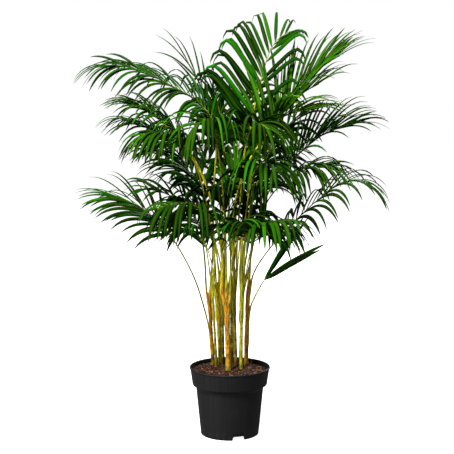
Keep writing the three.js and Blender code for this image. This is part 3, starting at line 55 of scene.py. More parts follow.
# the key 'dark' marks fronds at the back and inside the crown, whose leaflets get painted shade
FRONDS = [
  {'name': "frond_upper_left", 'cane': "cane_front_left", 'stalk': 3.8, 'bare': 458.745, 'pairs': 29, 'longest': 205, 'broad': 11.5, 'lift': 18, 'droop': 1.7, 'roll': [32, 14], 'spread': [56, 15], 'foot': 0.92, 'tip': 0.6, 'bend': 1.5, 'keel': 1, 'heading': None, 'dark': False, 'path': [[-41.7, -27.9, 402.1], [-40.8, -28.0, 457.2], [-43.7, -17.4, 511.4], [-47.2, -15.2, 566.4], [-48.7, -14.3, 621.7], [-48.6, -13.8, 677.0], [-46.7, -13.9, 732.2], [-42.8, -14.5, 787.4], [-39.7, -16.1, 842.5], [-41.9, -18.8, 897.6], [-59.0, -23.5, 949.7], [-95.4, -29.2, 990.6], [-141.0, -36.2, 1020.8], [-189.4, -43.7, 1046.4], [-238.7, -51.4, 1070.3], [-290.1, -60.4, 1088.3], [-343.9, -72.3, 1091.4]], 'set': "000-0000002000000002222120400020209002020c2c0ha20c0h02b200"},
  {'name': "frond_left_big", 'cane': "cane_front_centre", 'stalk': 6.0, 'bare': 474.322, 'pairs': 22, 'longest': 205, 'broad': 12, 'lift': 18, 'droop': 1.3, 'roll': [12, 5], 'spread': [54, 16], 'foot': 0.85, 'tip': 0.55, 'bend': 1.5, 'keel': 1, 'heading': None, 'dark': False, 'path': [[-24.5, -52.8, 389.2], [-26.1, -55.6, 431.1], [-22.7, -57.4, 472.9], [-20.5, -59.8, 514.7], [-22.5, -63.9, 556.4], [-28.7, -68.6, 597.6], [-36.5, -72.9, 638.7], [-45.2, -76.2, 679.6], [-55.7, -78.9, 720.1], [-69.2, -81.8, 759.8], [-86.4, -85.2, 797.9], [-107.3, -88.2, 834.1], [-131.0, -90.8, 868.7], [-157.7, -93.4, 901.0], [-187.8, -95.7, 930.0], [-221.6, -98.2, 954.7], [-257.9, -101.0, 975.7]], 'set': "3020022e286c2e4232023612232262hc0836689ih908"},
  {'name': "frond_left_mid", 'cane': "cane_left", 'stalk': 3.2, 'bare': 432.257, 'pairs': 16, 'longest': 205, 'broad': 11.5, 'lift': 16, 'droop': 1.5, 'roll': [10, 0], 'spread': [52, 16], 'foot': 0.75, 'tip': 0.6, 'bend': 1.5, 'keel': 1, 'heading': None, 'dark': False, 'path': [[-69.4, 31.0, 372.5], [-70.2, 30.1, 412.1], [-71.1, 28.2, 451.7], [-72.5, 26.6, 491.3], [-75.2, 26.4, 530.9], [-79.7, 28.0, 570.2], [-84.5, 29.8, 609.6], [-89.5, 31.4, 648.8], [-95.6, 33.0, 688.0], [-103.5, 34.6, 726.8], [-114.7, 36.3, 764.8], [-129.8, 38.5, 801.4], [-151.3, 41.5, 834.5], [-177.3, 45.6, 864.1], [-207.3, 50.7, 889.5], [-241.4, 56.6, 908.7], [-277.4, 62.8, 924.1]], 'set': "00000000025000000200020232030232"},
  {'name': "frond_left_front", 'cane': "cane_front_left", 'stalk': 3.2, 'bare': 460.016, 'pairs': 17, 'longest': 185, 'broad': 12, 'lift': 8, 'droop': 2.6, 'roll': [0, 0], 'spread': [58, 22], 'foot': 0.75, 'tip': 0.5, 'bend': 1.5, 'keel': -1, 'heading': None, 'dark': False, 'path': [[-54.4, -11.9, 417.7], [-55.0, -17.1, 455.9], [-47.0, -31.0, 491.1], [-45.1, -44.4, 527.2], [-47.8, -53.6, 564.7], [-51.8, -59.6, 602.6], [-56.7, -67.0, 640.2], [-62.6, -75.5, 677.4], [-69.7, -84.8, 714.3], [-77.8, -95.6, 750.5], [-87.0, -107.7, 786.0], [-98.9, -121.0, 820.3], [-113.6, -135.1, 853.1], [-135.8, -151.0, 880.3], [-164.3, -167.8, 899.8], [-198.5, -184.9, 904.9], [-233.5, -200.9, 902.3]], 'set': "00040256e05012a20300000h2f300a050h"},
  {'name': "frond_left_low_long", 'cane': "cane_left", 'stalk': 3.0, 'bare': 366.496, 'pairs': 18, 'longest': 190, 'broad': 11.5, 'lift': 2, 'droop': 0.85, 'roll': [46, 16], 'spread': [58, 11], 'foot': 0.85, 'tip': 0.6, 'bend': 1.8, 'keel': 1, 'heading': None, 'dark': False, 'path': [[-59.6, 36.1, 265.8], [-60.9, 28.1, 300.4], [-64.8, 10.3, 330.9], [-72.3, 3.6, 365.0], [-81.6, 2.7, 399.3], [-91.5, 1.0, 433.4], [-103.4, -1.4, 466.9], [-117.6, -4.4, 499.3], [-133.4, -7.7, 531.0], [-150.7, -11.2, 561.8], [-169.4, -14.8, 591.9], [-189.8, -18.6, 620.7], [-213.8, -22.8, 646.6], [-240.5, -27.3, 669.6], [-269.4, -32.1, 689.7], [-301.2, -37.1, 704.9], [-334.2, -42.2, 717.0]], 'set': "0000000020000-0e00000e2-430i00062032"},
  {'name': "frond_front_left_low", 'cane': "cane_left_slender", 'stalk': 2.6, 'bare': 283.286, 'pairs': 14, 'longest': 190, 'broad': 13.5, 'lift': 0, 'droop': 3.6, 'roll': [0, 0], 'spread': [60, 24], 'foot': 0.75, 'tip': 0.5, 'bend': 1.5, 'keel': -1, 'heading': None, 'dark': False, 'path': [[-49.9, -47.7, 384.9], [-49.1, -50.4, 415.9], [-47.9, -54.1, 446.8], [-46.6, -59.3, 477.4], [-45.2, -66.5, 507.7], [-44.2, -75.3, 537.5], [-44.0, -86.1, 566.7], [-45.2, -98.3, 595.3], [-48.0, -111.8, 623.2], [-53.6, -127.0, 649.8], [-64.1, -143.9, 673.6], [-79.8, -162.8, 692.6], [-99.7, -182.6, 706.0], [-123.1, -201.6, 713.6], [-148.4, -219.5, 715.6], [-174.0, -236.8, 712.0], [-199.2, -252.0, 702.0]], 'set': "000000000002020f0f0d2d2d6d0l"},
  {'name': "frond_front_right_low", 'cane': "cane_front_right", 'stalk': 3.0, 'bare': 211.344, 'pairs': 13, 'longest': 165, 'broad': 13, 'lift': 4, 'droop': 2.6, 'roll': [0, 0], 'spread': [58, 22], 'foot': 0.75, 'tip': 0.6, 'bend': 1.5, 'keel': -1, 'heading': None, 'dark': False, 'path': [[37.1, -45.7, 405.2], [36.7, -48.7, 431.5], [35.9, -52.7, 457.6], [34.9, -57.7, 483.5], [34.1, -64.2, 509.1], [34.6, -74.0, 533.6], [36.5, -86.3, 556.9], [39.5, -100.5, 578.9], [43.7, -116.2, 599.7], [50.3, -133.8, 618.3], [60.3, -153.0, 633.4], [73.5, -172.5, 645.3], [89.6, -191.2, 654.8], [108.0, -208.7, 662.1], [128.0, -225.0, 667.5], [149.5, -240.1, 670.2], [172.0, -254.0, 670.7]], 'set': "000500000000202000302b370d"},
  {'name': "frond_right_low", 'cane': "cane_right", 'stalk': 3.0, 'bare': 177.057, 'pairs': 18, 'longest': 195, 'broad': 12, 'lift': 14, 'droop': 1.7, 'roll': [-22, -4], 'spread': [62, 20], 'foot': 0.75, 'tip': 0.45, 'bend': 1.5, 'keel': -1, 'heading': None, 'dark': False, 'path': [[63.9, 10.0, 402.4], [64.4, 10.0, 437.1], [67.4, 10.0, 471.7], [81.0, 9.0, 503.5], [99.6, 7.2, 532.7], [120.2, 4.6, 560.5], [142.0, 1.3, 587.4], [164.9, -2.4, 613.1], [188.6, -6.2, 638.2], [212.8, -10.3, 662.8], [237.5, -15.0, 686.6], [262.9, -20.1, 709.8], [289.1, -25.8, 731.7], [317.6, -31.7, 750.6], [349.7, -37.5, 761.9], [383.3, -43.8, 757.7], [412.9, -49.8, 740.8]], 'set': "000000000000000000000000000000000002"},
  {'name': "frond_right_bifid", 'cane': "cane_right", 'stalk': 3.3, 'bare': 173.755, 'pairs': 3, 'longest': 216, 'broad': 21, 'lift': 0, 'droop': 0.16, 'roll': [-72, -66], 'spread': [18, 25], 'foot': 0.98, 'tip': 1.0, 'bend': 1.0, 'keel': 1, 'heading': None, 'dark': True, 'path': [[54.4, 21.1, 296.3], [54.9, 18.3, 309.4], [55.4, 15.5, 322.4], [56.0, 11.6, 335.2], [56.9, 6.1, 347.3], [57.8, 0.5, 359.4], [59.5, -5.1, 371.4], [61.5, -10.7, 383.4], [64.1, -15.8, 395.4], [69.2, -19.0, 407.4], [74.3, -22.2, 419.3], [79.7, -25.6, 431.1], [85.5, -28.9, 442.7], [91.3, -32.3, 454.2], [98.0, -35.7, 465.3], [105.9, -38.6, 475.7], [114.4, -41.0, 485.7]], 'set': "--2020"},
  {'name': "frond_right_mid", 'cane': "cane_back_right", 'stalk': 3.0, 'bare': 388.774, 'pairs': 14, 'longest': 195, 'broad': 12.5, 'lift': 12, 'droop': 2.2, 'roll': [-8, 0], 'spread': [56, 18], 'foot': 0.75, 'tip': 0.6, 'bend': 1.5, 'keel': -1, 'heading': None, 'dark': False, 'path': [[45.4, 41.1, 402.5], [48.1, 41.1, 434.8], [52.7, 40.7, 466.9], [58.1, 40.0, 498.8], [63.7, 38.9, 530.7], [69.3, 37.5, 562.6], [75.4, 35.9, 594.4], [82.9, 34.1, 625.9], [92.8, 30.8, 656.6], [105.8, 26.3, 685.8], [122.2, 20.8, 713.1], [142.2, 14.5, 737.7], [165.2, 7.3, 759.4], [190.6, -1.2, 777.5], [218.5, -10.3, 791.2], [248.6, -20.0, 798.1], [279.5, -29.7, 798.5]], 'set': "000000002030300032709jh20jhd"},
  {'name': "frond_right_arch", 'cane': "cane_right", 'stalk': 3.6, 'bare': 379.04, 'pairs': 21, 'longest': 218, 'broad': 11.5, 'lift': 36, 'droop': 0.9, 'roll': [-16, -4], 'spread': [54, 16], 'foot': 0.75, 'tip': 0.55, 'bend': 2.0, 'keel': 1, 'heading': None, 'dark': False, 'path': [[58.3, 17.0, 425.9], [59.0, 14.6, 464.9], [60.1, 10.4, 503.7], [62.2, 7.0, 542.6], [67.0, 6.7, 581.3], [75.3, 8.9, 619.5], [85.7, 11.0, 657.0], [99.3, 12.8, 693.6], [116.7, 14.0, 728.5], [138.0, 14.1, 761.3], [161.8, 13.4, 792.3], [187.9, 11.6, 821.3], [215.8, 9.3, 848.5], [245.8, 6.5, 873.4], [277.7, 3.0, 895.5], [313.6, -1.8, 910.3], [351.1, -7.5, 919.4]], 'set': "00000e000-000e2000020203222-0e090i0a22h-99"},
  {'name': "frond_right_yellow", 'cane': "cane_front_right", 'stalk': 3.0, 'bare': 442.101, 'pairs': 15, 'longest': 200, 'broad': 12, 'lift': 30, 'droop': 0.9, 'roll': [-14, -4], 'spread': [52, 16], 'foot': 0.75, 'tip': 0.55, 'bend': 2.0, 'keel': 1, 'heading': None, 'dark': False, 'path': [[44.0, -37.4, 421.2], [43.6, -37.5, 460.7], [42.2, -37.6, 500.1], [42.1, -38.1, 539.6], [44.7, -39.1, 579.0], [49.1, -40.7, 618.1], [54.0, -42.9, 657.3], [59.1, -45.6, 696.3], [64.7, -48.7, 735.3], [71.1, -52.2, 774.0], [78.7, -56.2, 812.6], [88.5, -60.9, 850.5], [101.2, -66.3, 887.4], [122.2, -73.3, 920.0], [150.3, -81.3, 946.3], [186.1, -89.4, 960.5], [224.0, -97.3, 968.1]], 'set': "k2-0-0-0-0-0-0j1-2403000224332"},
  {'name': "frond_top_right", 'cane': "cane_centre_right", 'stalk': 3.4, 'bare': 492.053, 'pairs': 23, 'longest': 238, 'broad': 12, 'lift': 34, 'droop': 0.6, 'roll': [-26, -12], 'spread': [50, 12], 'foot': 0.9, 'tip': 0.6, 'bend': 2.5, 'keel': 1, 'heading': None, 'dark': False, 'path': [[14.1, -28.5, 414.2], [12.0, -39.1, 463.7], [9.3, -53.4, 512.4], [7.2, -66.5, 561.3], [6.8, -74.9, 611.3], [8.9, -81.9, 661.5], [16.1, -86.1, 711.5], [29.8, -83.7, 760.2], [47.3, -77.6, 807.4], [71.9, -68.1, 850.7], [101.3, -57.8, 890.7], [130.8, -46.9, 930.5], [160.3, -36.6, 970.4], [191.1, -27.4, 1009.7], [223.9, -18.7, 1047.4], [259.4, -9.6, 1082.5], [300.7, -2.0, 1110.9]], 'set': "1g3-303-905038a32-00202060222-202-c02-0-20h44-"},
  {'name': "frond_top", 'cane': "cane_back_centre", 'stalk': 4.2, 'bare': 479.025, 'pairs': 18, 'longest': 212, 'broad': 14.5, 'lift': 22, 'droop': 4.0, 'roll': [0, 0], 'spread': [50, 36], 'foot': 1.28, 'tip': 0.24, 'bend': 7.0, 'keel': 1, 'heading': 66, 'dark': False, 'path': [[19.0, 41.5, 417.1], [15.1, 39.6, 467.9], [10.2, 37.3, 518.5], [9.3, 35.8, 569.4], [13.2, 35.6, 620.2], [18.8, 36.0, 670.9], [25.3, 36.7, 721.4], [32.8, 37.8, 771.8], [41.2, 38.9, 822.1], [51.5, 39.6, 872.0], [62.0, 41.0, 921.8], [72.8, 43.4, 971.5], [84.7, 45.9, 1021.0], [97.4, 48.8, 1070.3], [111.8, 52.7, 1119.0], [135.5, 57.6, 1163.5], [176.5, 64.0, 1192.8]], 'set': "63000-000-0-0-00000-0-000-0000030-00"},
  {'name': "frond_top_front", 'cane': "cane_back_right", 'stalk': 3.0, 'bare': 404.718, 'pairs': 19, 'longest': 225, 'broad': 12.5, 'lift': 40, 'droop': 0.7, 'roll': [-24, -20], 'spread': [46, 18], 'foot': 0.9, 'tip': 0.55, 'bend': 2.5, 'keel': 1, 'heading': None, 'dark': False, 'path': [[37.5, 32.6, 426.5], [40.5, 32.1, 469.0], [46.2, 30.3, 511.1], [53.0, 26.6, 553.0], [60.1, 21.6, 594.7], [67.3, 15.7, 636.3], [74.4, 9.1, 677.8], [81.9, 2.0, 719.1], [90.4, -5.2, 760.2], [100.1, -12.0, 801.2], [111.1, -18.4, 841.8], [125.1, -23.6, 881.7], [141.2, -28.9, 920.8], [161.3, -35.6, 957.7], [186.3, -43.2, 991.3], [217.3, -51.1, 1019.3], [253.9, -58.0, 1039.9]], 'set': "030-0b2-0-0i0i0-0-0-1-m-me6-e8--b0b02-"},
  {'name': "frond_top_back_left", 'cane': "cane_back_left", 'stalk': 3.0, 'bare': 446.369, 'pairs': 6, 'longest': 190, 'broad': 8, 'lift': 12, 'droop': 0.6, 'roll': [0, 0], 'spread': [24, 8], 'foot': 0.75, 'tip': 0.75, 'bend': 1.5, 'keel': 1, 'heading': None, 'dark': True, 'path': [[-25.8, 45.8, 426.0], [-25.1, 46.1, 470.6], [-23.9, 47.3, 515.2], [-22.8, 49.8, 559.8], [-22.0, 53.5, 604.3], [-21.6, 57.8, 648.7], [-21.8, 62.0, 693.1], [-22.8, 66.3, 737.5], [-25.0, 71.0, 781.9], [-28.5, 76.1, 826.1], [-34.2, 81.6, 870.0], [-42.9, 87.8, 913.3], [-54.6, 94.5, 955.9], [-69.5, 101.8, 997.3], [-86.9, 110.8, 1037.4], [-107.6, 121.1, 1075.6], [-131.0, 132.0, 1112.0]], 'set': "00100020b000"},
  {'name': "frond_front_centre_left", 'cane': "cane_front_centre", 'stalk': 3.2, 'bare': 450.556, 'pairs': 17, 'longest': 205, 'broad': 12.5, 'lift': 10, 'droop': 2.9, 'roll': [0, 0], 'spread': [50, 22], 'foot': 0.75, 'tip': 0.5, 'bend': 1.5, 'keel': -1, 'heading': None, 'dark': False, 'path': [[-8.6, -59.7, 417.0], [-8.9, -62.7, 454.7], [-9.8, -68.0, 492.2], [-10.8, -74.1, 529.6], [-11.7, -79.9, 567.0], [-12.5, -85.3, 604.4], [-13.7, -91.1, 641.8], [-15.6, -97.4, 679.1], [-18.1, -104.3, 716.2], [-21.0, -112.2, 753.1], [-24.4, -121.5, 789.7], [-28.4, -132.4, 825.7], [-33.7, -145.1, 861.0], [-41.4, -160.9, 894.4], [-54.9, -181.3, 923.0], [-77.8, -208.1, 935.0], [-103.5, -232.0, 921.6]], 'set': "3f0g0-0o0-0i2o2-0h090n0h040h0-0-0d"},
  {'name': "frond_front_centre_right", 'cane': "cane_centre_right", 'stalk': 3.0, 'bare': 437.741, 'pairs': 17, 'longest': 205, 'broad': 12.5, 'lift': 10, 'droop': 2.9, 'roll': [0, 0], 'spread': [50, 22], 'foot': 0.75, 'tip': 0.5, 'bend': 1.5, 'keel': -1, 'heading': None, 'dark': False, 'path': [[21.1, -23.9, 433.9], [20.9, -27.9, 470.8], [19.7, -38.0, 506.4], [19.8, -47.0, 542.4], [21.1, -54.0, 578.8], [23.1, -60.4, 615.3], [25.4, -67.6, 651.6], [28.0, -75.7, 687.7], [30.9, -84.6, 723.6], [33.8, -94.6, 759.3], [36.8, -105.8, 794.5], [40.1, -118.5, 829.2], [44.1, -132.8, 863.1], [49.9, -150.9, 895.0], [60.5, -174.2, 921.4], [81.4, -202.0, 932.6], [106.3, -226.0, 919.9]], 'set': "0c0h03030h6c242l2-306061c12f276024"},
  {'name': "frond_right_front_hang", 'cane': "cane_front_right", 'stalk': 3.0, 'bare': 323.537, 'pairs': 16, 'longest': 190, 'broad': 13.5, 'lift': 6, 'droop': 2.9, 'roll': [0, 0], 'spread': [54, 22], 'foot': 0.75, 'tip': 0.55, 'bend': 1.5, 'keel': -1, 'heading': None, 'dark': False, 'path': [[26.8, -46.3, 441.1], [27.3, -48.8, 471.8], [29.0, -53.5, 502.2], [31.3, -59.0, 532.4], [34.1, -64.4, 562.6], [37.2, -69.8, 592.8], [40.7, -75.4, 622.9], [44.3, -81.5, 652.9], [47.7, -88.8, 682.6], [51.4, -97.2, 712.0], [55.4, -107.4, 740.8], [60.0, -119.4, 768.8], [66.8, -135.8, 793.8], [78.0, -157.0, 813.0], [94.7, -181.0, 822.1], [113.3, -205.0, 818.6], [128.7, -226.0, 802.4]], 'set': "0000000400020024806d85a9070l0d0f"},
  {'name': "frond_left_low_up", 'cane': "cane_left", 'stalk': 2.8, 'bare': 187.837, 'pairs': 12, 'longest': 170, 'broad': 14, 'lift': 32, 'droop': 1.2, 'roll': [20, 20], 'spread': [60, 22], 'foot': 0.75, 'tip': 0.5, 'bend': 1.5, 'keel': 1, 'heading': None, 'dark': False, 'path': [[-54.9, 16.9, 396.2], [-55.7, 14.5, 422.9], [-56.9, 11.7, 449.6], [-58.7, 8.6, 476.2], [-61.1, 5.6, 502.7], [-64.6, 3.6, 529.3], [-69.0, 1.9, 555.7], [-74.8, 0.2, 581.8], [-83.1, -2.1, 607.2], [-93.8, -4.8, 631.7], [-107.1, -8.3, 654.7], [-123.3, -12.2, 675.7], [-142.1, -16.3, 694.4], [-163.4, -20.7, 710.0], [-186.7, -25.3, 722.5], [-211.5, -30.5, 731.2], [-237.1, -36.0, 737.3]], 'set': "000010202020be0102020300"},
  {'name': "frond_left_back_mid", 'cane': "cane_back_left", 'stalk': 2.8, 'bare': 276.627, 'pairs': 12, 'longest': 190, 'broad': 14, 'lift': 20, 'droop': 1.5, 'roll': [0, 0], 'spread': [60, 22], 'foot': 0.75, 'tip': 0.5, 'bend': 1.5, 'keel': 1, 'heading': None, 'dark': True, 'path': [[-33.8, 35.8, 410.5], [-33.7, 40.8, 443.5], [-34.3, 46.3, 476.3], [-36.4, 51.3, 509.2], [-40.1, 55.6, 542.0], [-45.5, 59.3, 574.7], [-52.0, 63.0, 607.2], [-59.8, 67.0, 639.4], [-69.1, 71.6, 671.0], [-79.7, 76.7, 702.2], [-93.5, 83.2, 731.8], [-109.9, 90.5, 759.9], [-129.6, 98.4, 785.5], [-152.8, 107.3, 807.7], [-178.9, 117.7, 825.7], [-207.7, 128.7, 838.1], [-238.3, 140.0, 845.0]], 'set': "20300b106031200000000200"},
  {'name': "frond_centre_back", 'cane': "cane_back_centre", 'stalk': 3.0, 'bare': 293.748, 'pairs': 13, 'longest': 205, 'broad': 14, 'lift': 20, 'droop': 1.4, 'roll': [0, 0], 'spread': [44, 20], 'foot': 0.75, 'tip': 0.45, 'bend': 2.4, 'keel': 1, 'heading': None, 'dark': True, 'path': [[4.7, 50.7, 433.0], [2.7, 48.6, 470.1], [2.1, 50.5, 507.2], [2.2, 52.0, 544.3], [1.2, 53.8, 581.4], [-0.6, 55.9, 618.5], [-2.5, 58.4, 655.6], [-4.6, 61.2, 692.6], [-6.9, 64.2, 729.6], [-9.5, 67.8, 766.5], [-12.5, 71.7, 803.3], [-15.9, 76.4, 840.0], [-19.9, 82.5, 876.5], [-24.4, 89.8, 912.7], [-29.4, 98.8, 948.4], [-36.1, 109.5, 983.3], [-45.7, 122.0, 1017.0]], 'set': "f0o-e-3-0-000100080g0-9-h7"},
  {'name': "frond_right_back_up", 'cane': "cane_back_right", 'stalk': 3.0, 'bare': 313.77, 'pairs': 13, 'longest': 195, 'broad': 14, 'lift': 25, 'droop': 1.5, 'roll': [0, 0], 'spread': [60, 22], 'foot': 0.75, 'tip': 0.5, 'bend': 2.0, 'keel': 1, 'heading': None, 'dark': True, 'path': [[42.4, 49.9, 434.5], [41.8, 54.2, 474.5], [41.0, 62.8, 513.8], [44.0, 70.1, 553.2], [49.4, 76.3, 592.6], [56.0, 83.1, 631.7], [63.8, 90.9, 670.4], [73.1, 99.3, 708.6], [84.1, 108.2, 746.2], [97.7, 117.9, 782.8], [113.3, 128.6, 818.3], [131.3, 140.4, 852.3], [152.4, 153.2, 884.0], [177.2, 166.7, 912.7], [205.3, 182.2, 936.8], [237.2, 199.5, 954.0], [272.0, 218.0, 961.7]], 'set': "0-030e0e00020b000000000202"},
  {'name': "frond_back_left", 'cane': "cane_back_left", 'stalk': 2.8, 'bare': 287.154, 'pairs': 12, 'longest': 195, 'broad': 14, 'lift': 15, 'droop': 1.7, 'roll': [0, 0], 'spread': [60, 22], 'foot': 0.75, 'tip': 0.5, 'bend': 1.5, 'keel': -1, 'heading': None, 'dark': True, 'path': [[-15.0, 43.8, 398.1], [-15.2, 49.2, 436.0], [-15.4, 61.3, 472.3], [-15.5, 74.4, 508.3], [-15.8, 86.9, 544.4], [-16.7, 98.8, 580.8], [-19.0, 110.5, 617.2], [-22.9, 122.6, 653.3], [-28.3, 135.4, 689.0], [-35.6, 149.8, 723.7], [-45.0, 166.2, 757.0], [-57.2, 184.3, 788.4], [-73.1, 204.8, 816.5], [-94.2, 227.9, 838.3], [-121.0, 252.4, 849.9], [-151.3, 275.5, 849.2], [-181.7, 296.0, 838.4]], 'set': "20-0a0h67020200000000000"},
  {'name': "frond_back_right", 'cane': "cane_back_right", 'stalk': 2.8, 'bare': 285.592, 'pairs': 12, 'longest': 195, 'broad': 14, 'lift': 15, 'droop': 1.7, 'roll': [0, 0], 'spread': [60, 22], 'foot': 0.75, 'tip': 0.5, 'bend': 1.5, 'keel': -1, 'heading': None, 'dark': True, 'path': [[31.7, 53.7, 402.5], [31.6, 57.4, 438.9], [31.5, 65.7, 474.6], [31.8, 75.2, 509.9], [33.4, 85.5, 545.0], [36.4, 96.8, 579.7], [40.6, 109.0, 613.9], [45.6, 121.9, 647.8], [51.0, 135.6, 681.4], [58.3, 150.9, 713.8], [67.9, 168.3, 744.5], [80.0, 187.6, 773.2], [95.7, 208.6, 798.6], [116.1, 231.9, 817.9], [141.7, 256.3, 826.6], [170.0, 278.7, 821.8], [197.1, 298.0, 806.7]], 'set': "0813g0b0100000000000000h"},
  {'name': "frond_back_centre", 'cane': "cane_back_centre", 'stalk': 2.8, 'bare': 393.46, 'pairs': 13, 'longest': 205, 'broad': 14, 'lift': 15, 'droop': 1.6, 'roll': [0, 0], 'spread': [60, 22], 'foot': 0.75, 'tip': 0.5, 'bend': 1.5, 'keel': -1, 'heading': None, 'dark': True, 'path': [[-5.2, 42.3, 397.3], [-4.2, 51.4, 439.5], [4.2, 61.8, 480.6], [11.2, 72.3, 522.0], [15.4, 82.1, 563.9], [17.7, 90.7, 606.2], [19.2, 99.1, 648.6], [20.9, 108.2, 690.8], [22.8, 118.0, 732.9], [24.7, 128.8, 774.7], [26.7, 140.4, 816.3], [28.8, 153.4, 857.5], [31.1, 168.1, 898.1], [33.4, 185.3, 937.7], [35.6, 206.8, 975.1], [37.7, 237.5, 1004.8], [40.2, 280.0, 1009.6]], 'set': "9o23e0e1210000200000000700"},
  {'name': "frond_back_low_left", 'cane': "cane_back_left", 'stalk': 2.6, 'bare': 222.167, 'pairs': 11, 'longest': 180, 'broad': 14, 'lift': 10, 'droop': 2.2, 'roll': [0, 0], 'spread': [60, 22], 'foot': 0.75, 'tip': 0.5, 'bend': 1.5, 'keel': -1, 'heading': None, 'dark': True, 'path': [[-33.1, 31.9, 366.2], [-33.2, 39.0, 392.7], [-32.0, 48.0, 418.6], [-30.7, 58.2, 444.0], [-30.8, 69.0, 469.2], [-34.0, 80.1, 494.1], [-38.8, 91.8, 518.4], [-45.0, 104.3, 542.0], [-52.8, 118.2, 564.3], [-62.6, 133.7, 584.8], [-74.4, 150.5, 602.9], [-88.8, 168.4, 617.9], [-105.9, 187.1, 628.2], [-125.2, 205.8, 633.8], [-145.8, 223.8, 634.1], [-166.8, 240.5, 628.6], [-187.4, 256.0, 619.2]], 'set': "0000000000002020809020"},
  {'name': "frond_inner_left", 'cane': "cane_back_left", 'stalk': 2.7, 'bare': 217.885, 'pairs': 12, 'longest': 185, 'broad': 12.5, 'lift': 12, 'droop': 1.4, 'roll': [0, 0], 'spread': [48, 20], 'foot': 0.75, 'tip': 0.5, 'bend': 2.0, 'keel': 1, 'heading': None, 'dark': False, 'path': [[-18.6, 26.9, 414.0], [-19.7, 26.0, 436.2], [-21.5, 25.2, 458.3], [-24.2, 24.2, 480.4], [-27.4, 22.8, 502.3], [-31.0, 21.2, 524.2], [-35.5, 19.5, 545.9], [-40.7, 17.6, 567.5], [-46.4, 15.4, 588.8], [-53.6, 12.4, 609.6], [-61.4, 9.2, 630.2], [-71.3, 4.6, 649.5], [-83.3, -1.5, 667.2], [-97.3, -8.7, 682.9], [-114.1, -16.9, 694.8], [-133.4, -26.2, 700.4], [-153.3, -36.0, 699.5]], 'set': "al6-6-2g2-2l0-1h1fcic9-0"},
  {'name': "frond_inner_right", 'cane': "cane_back_right", 'stalk': 2.7, 'bare': 187.03, 'pairs': 12, 'longest': 180, 'broad': 13, 'lift': 5, 'droop': 2.6, 'roll': [0, 0], 'spread': [58, 22], 'foot': 0.75, 'tip': 0.5, 'bend': 1.5, 'keel': -1, 'heading': None, 'dark': True, 'path': [[27.4, 38.7, 414.5], [28.3, 36.7, 432.2], [29.2, 34.7, 449.9], [31.6, 30.4, 467.0], [34.2, 25.7, 484.0], [36.7, 21.3, 501.0], [39.1, 16.9, 518.1], [41.3, 13.4, 535.5], [43.2, 10.2, 552.9], [45.5, 7.1, 570.3], [48.0, 3.9, 587.6], [50.8, 0.4, 604.8], [55.2, -4.6, 621.4], [60.6, -10.5, 637.3], [67.7, -18.0, 651.8], [77.3, -28.2, 662.5], [90.5, -40.0, 662.0]], 'set': "1219e596b8mb-d-8-9-d-1a7"},
  {'name': "frond_inner_centre", 'cane': "cane_back_centre", 'stalk': 2.7, 'bare': 220.167, 'pairs': 12, 'longest': 190, 'broad': 14, 'lift': 5, 'droop': 2.8, 'roll': [0, 0], 'spread': [56, 22], 'foot': 0.75, 'tip': 0.5, 'bend': 1.5, 'keel': -1, 'heading': None, 'dark': True, 'path': [[4.3, 31.6, 421.1], [4.0, 29.5, 444.4], [3.7, 26.6, 467.6], [3.4, 22.7, 490.8], [2.7, 18.4, 513.8], [1.8, 14.0, 536.8], [0.5, 9.8, 559.8], [-1.4, 5.4, 582.7], [-3.7, 0.9, 605.5], [-7.1, -4.0, 628.2], [-10.7, -9.4, 650.7], [-14.5, -16.9, 672.6], [-18.8, -25.8, 693.8], [-24.7, -36.3, 713.9], [-32.8, -49.1, 731.6], [-43.9, -66.0, 743.1], [-57.5, -84.9, 743.4]], 'set': "hd-1k-ol-k9k2-0l1l000-2-"},
  {'name': "frond_inner_back", 'cane': "cane_centre_right", 'stalk': 2.7, 'bare': 233.85, 'pairs': 12, 'longest': 185, 'broad': 13, 'lift': 5, 'droop': 2.6, 'roll': [0, 0], 'spread': [58, 22], 'foot': 0.75, 'tip': 0.5, 'bend': 1.5, 'keel': -1, 'heading': None, 'dark': True, 'path': [[19.3, -8.5, 402.5], [19.8, -9.0, 426.6], [20.6, -9.5, 450.7], [21.7, -9.8, 474.8], [23.1, -9.9, 498.8], [24.5, -9.9, 522.9], [26.4, -9.4, 546.9], [28.9, -8.5, 570.9], [32.1, -7.2, 594.8], [36.9, -4.4, 618.2], [41.5, -1.6, 641.7], [46.4, 1.4, 665.1], [53.8, 5.7, 687.7], [64.2, 11.7, 708.5], [78.8, 20.0, 725.6], [98.4, 30.7, 734.2], [119.1, 42.0, 729.8]], 'set': "0-0m0o050o0o1-1-188--ljj"},
  {'name': "frond_low_star", 'cane': "cane_front_centre", 'stalk': 2.8, 'bare': 254.697, 'pairs': 12, 'longest': 165, 'broad': 12.5, 'lift': 14, 'droop': 1.6, 'roll': [0, 0], 'spread': [64, 20], 'foot': 0.85, 'tip': 0.6, 'bend': 1.5, 'keel': -1, 'heading': None, 'dark': False, 'path': [[3.3, -44.6, 369.4], [3.0, -47.6, 392.0], [2.7, -51.5, 414.3], [2.2, -56.9, 436.4], [2.1, -62.9, 458.4], [2.2, -68.8, 480.3], [3.4, -74.5, 502.3], [5.3, -80.0, 524.3], [7.9, -85.8, 546.1], [11.2, -94.3, 567.0], [14.6, -103.9, 587.3], [18.3, -114.7, 606.9], [22.2, -128.0, 625.0], [26.3, -144.8, 639.6], [29.9, -164.0, 651.2], [32.9, -185.4, 658.2], [34.7, -208.0, 659.4]], 'set': "0001042438c464c263c22b-1"},
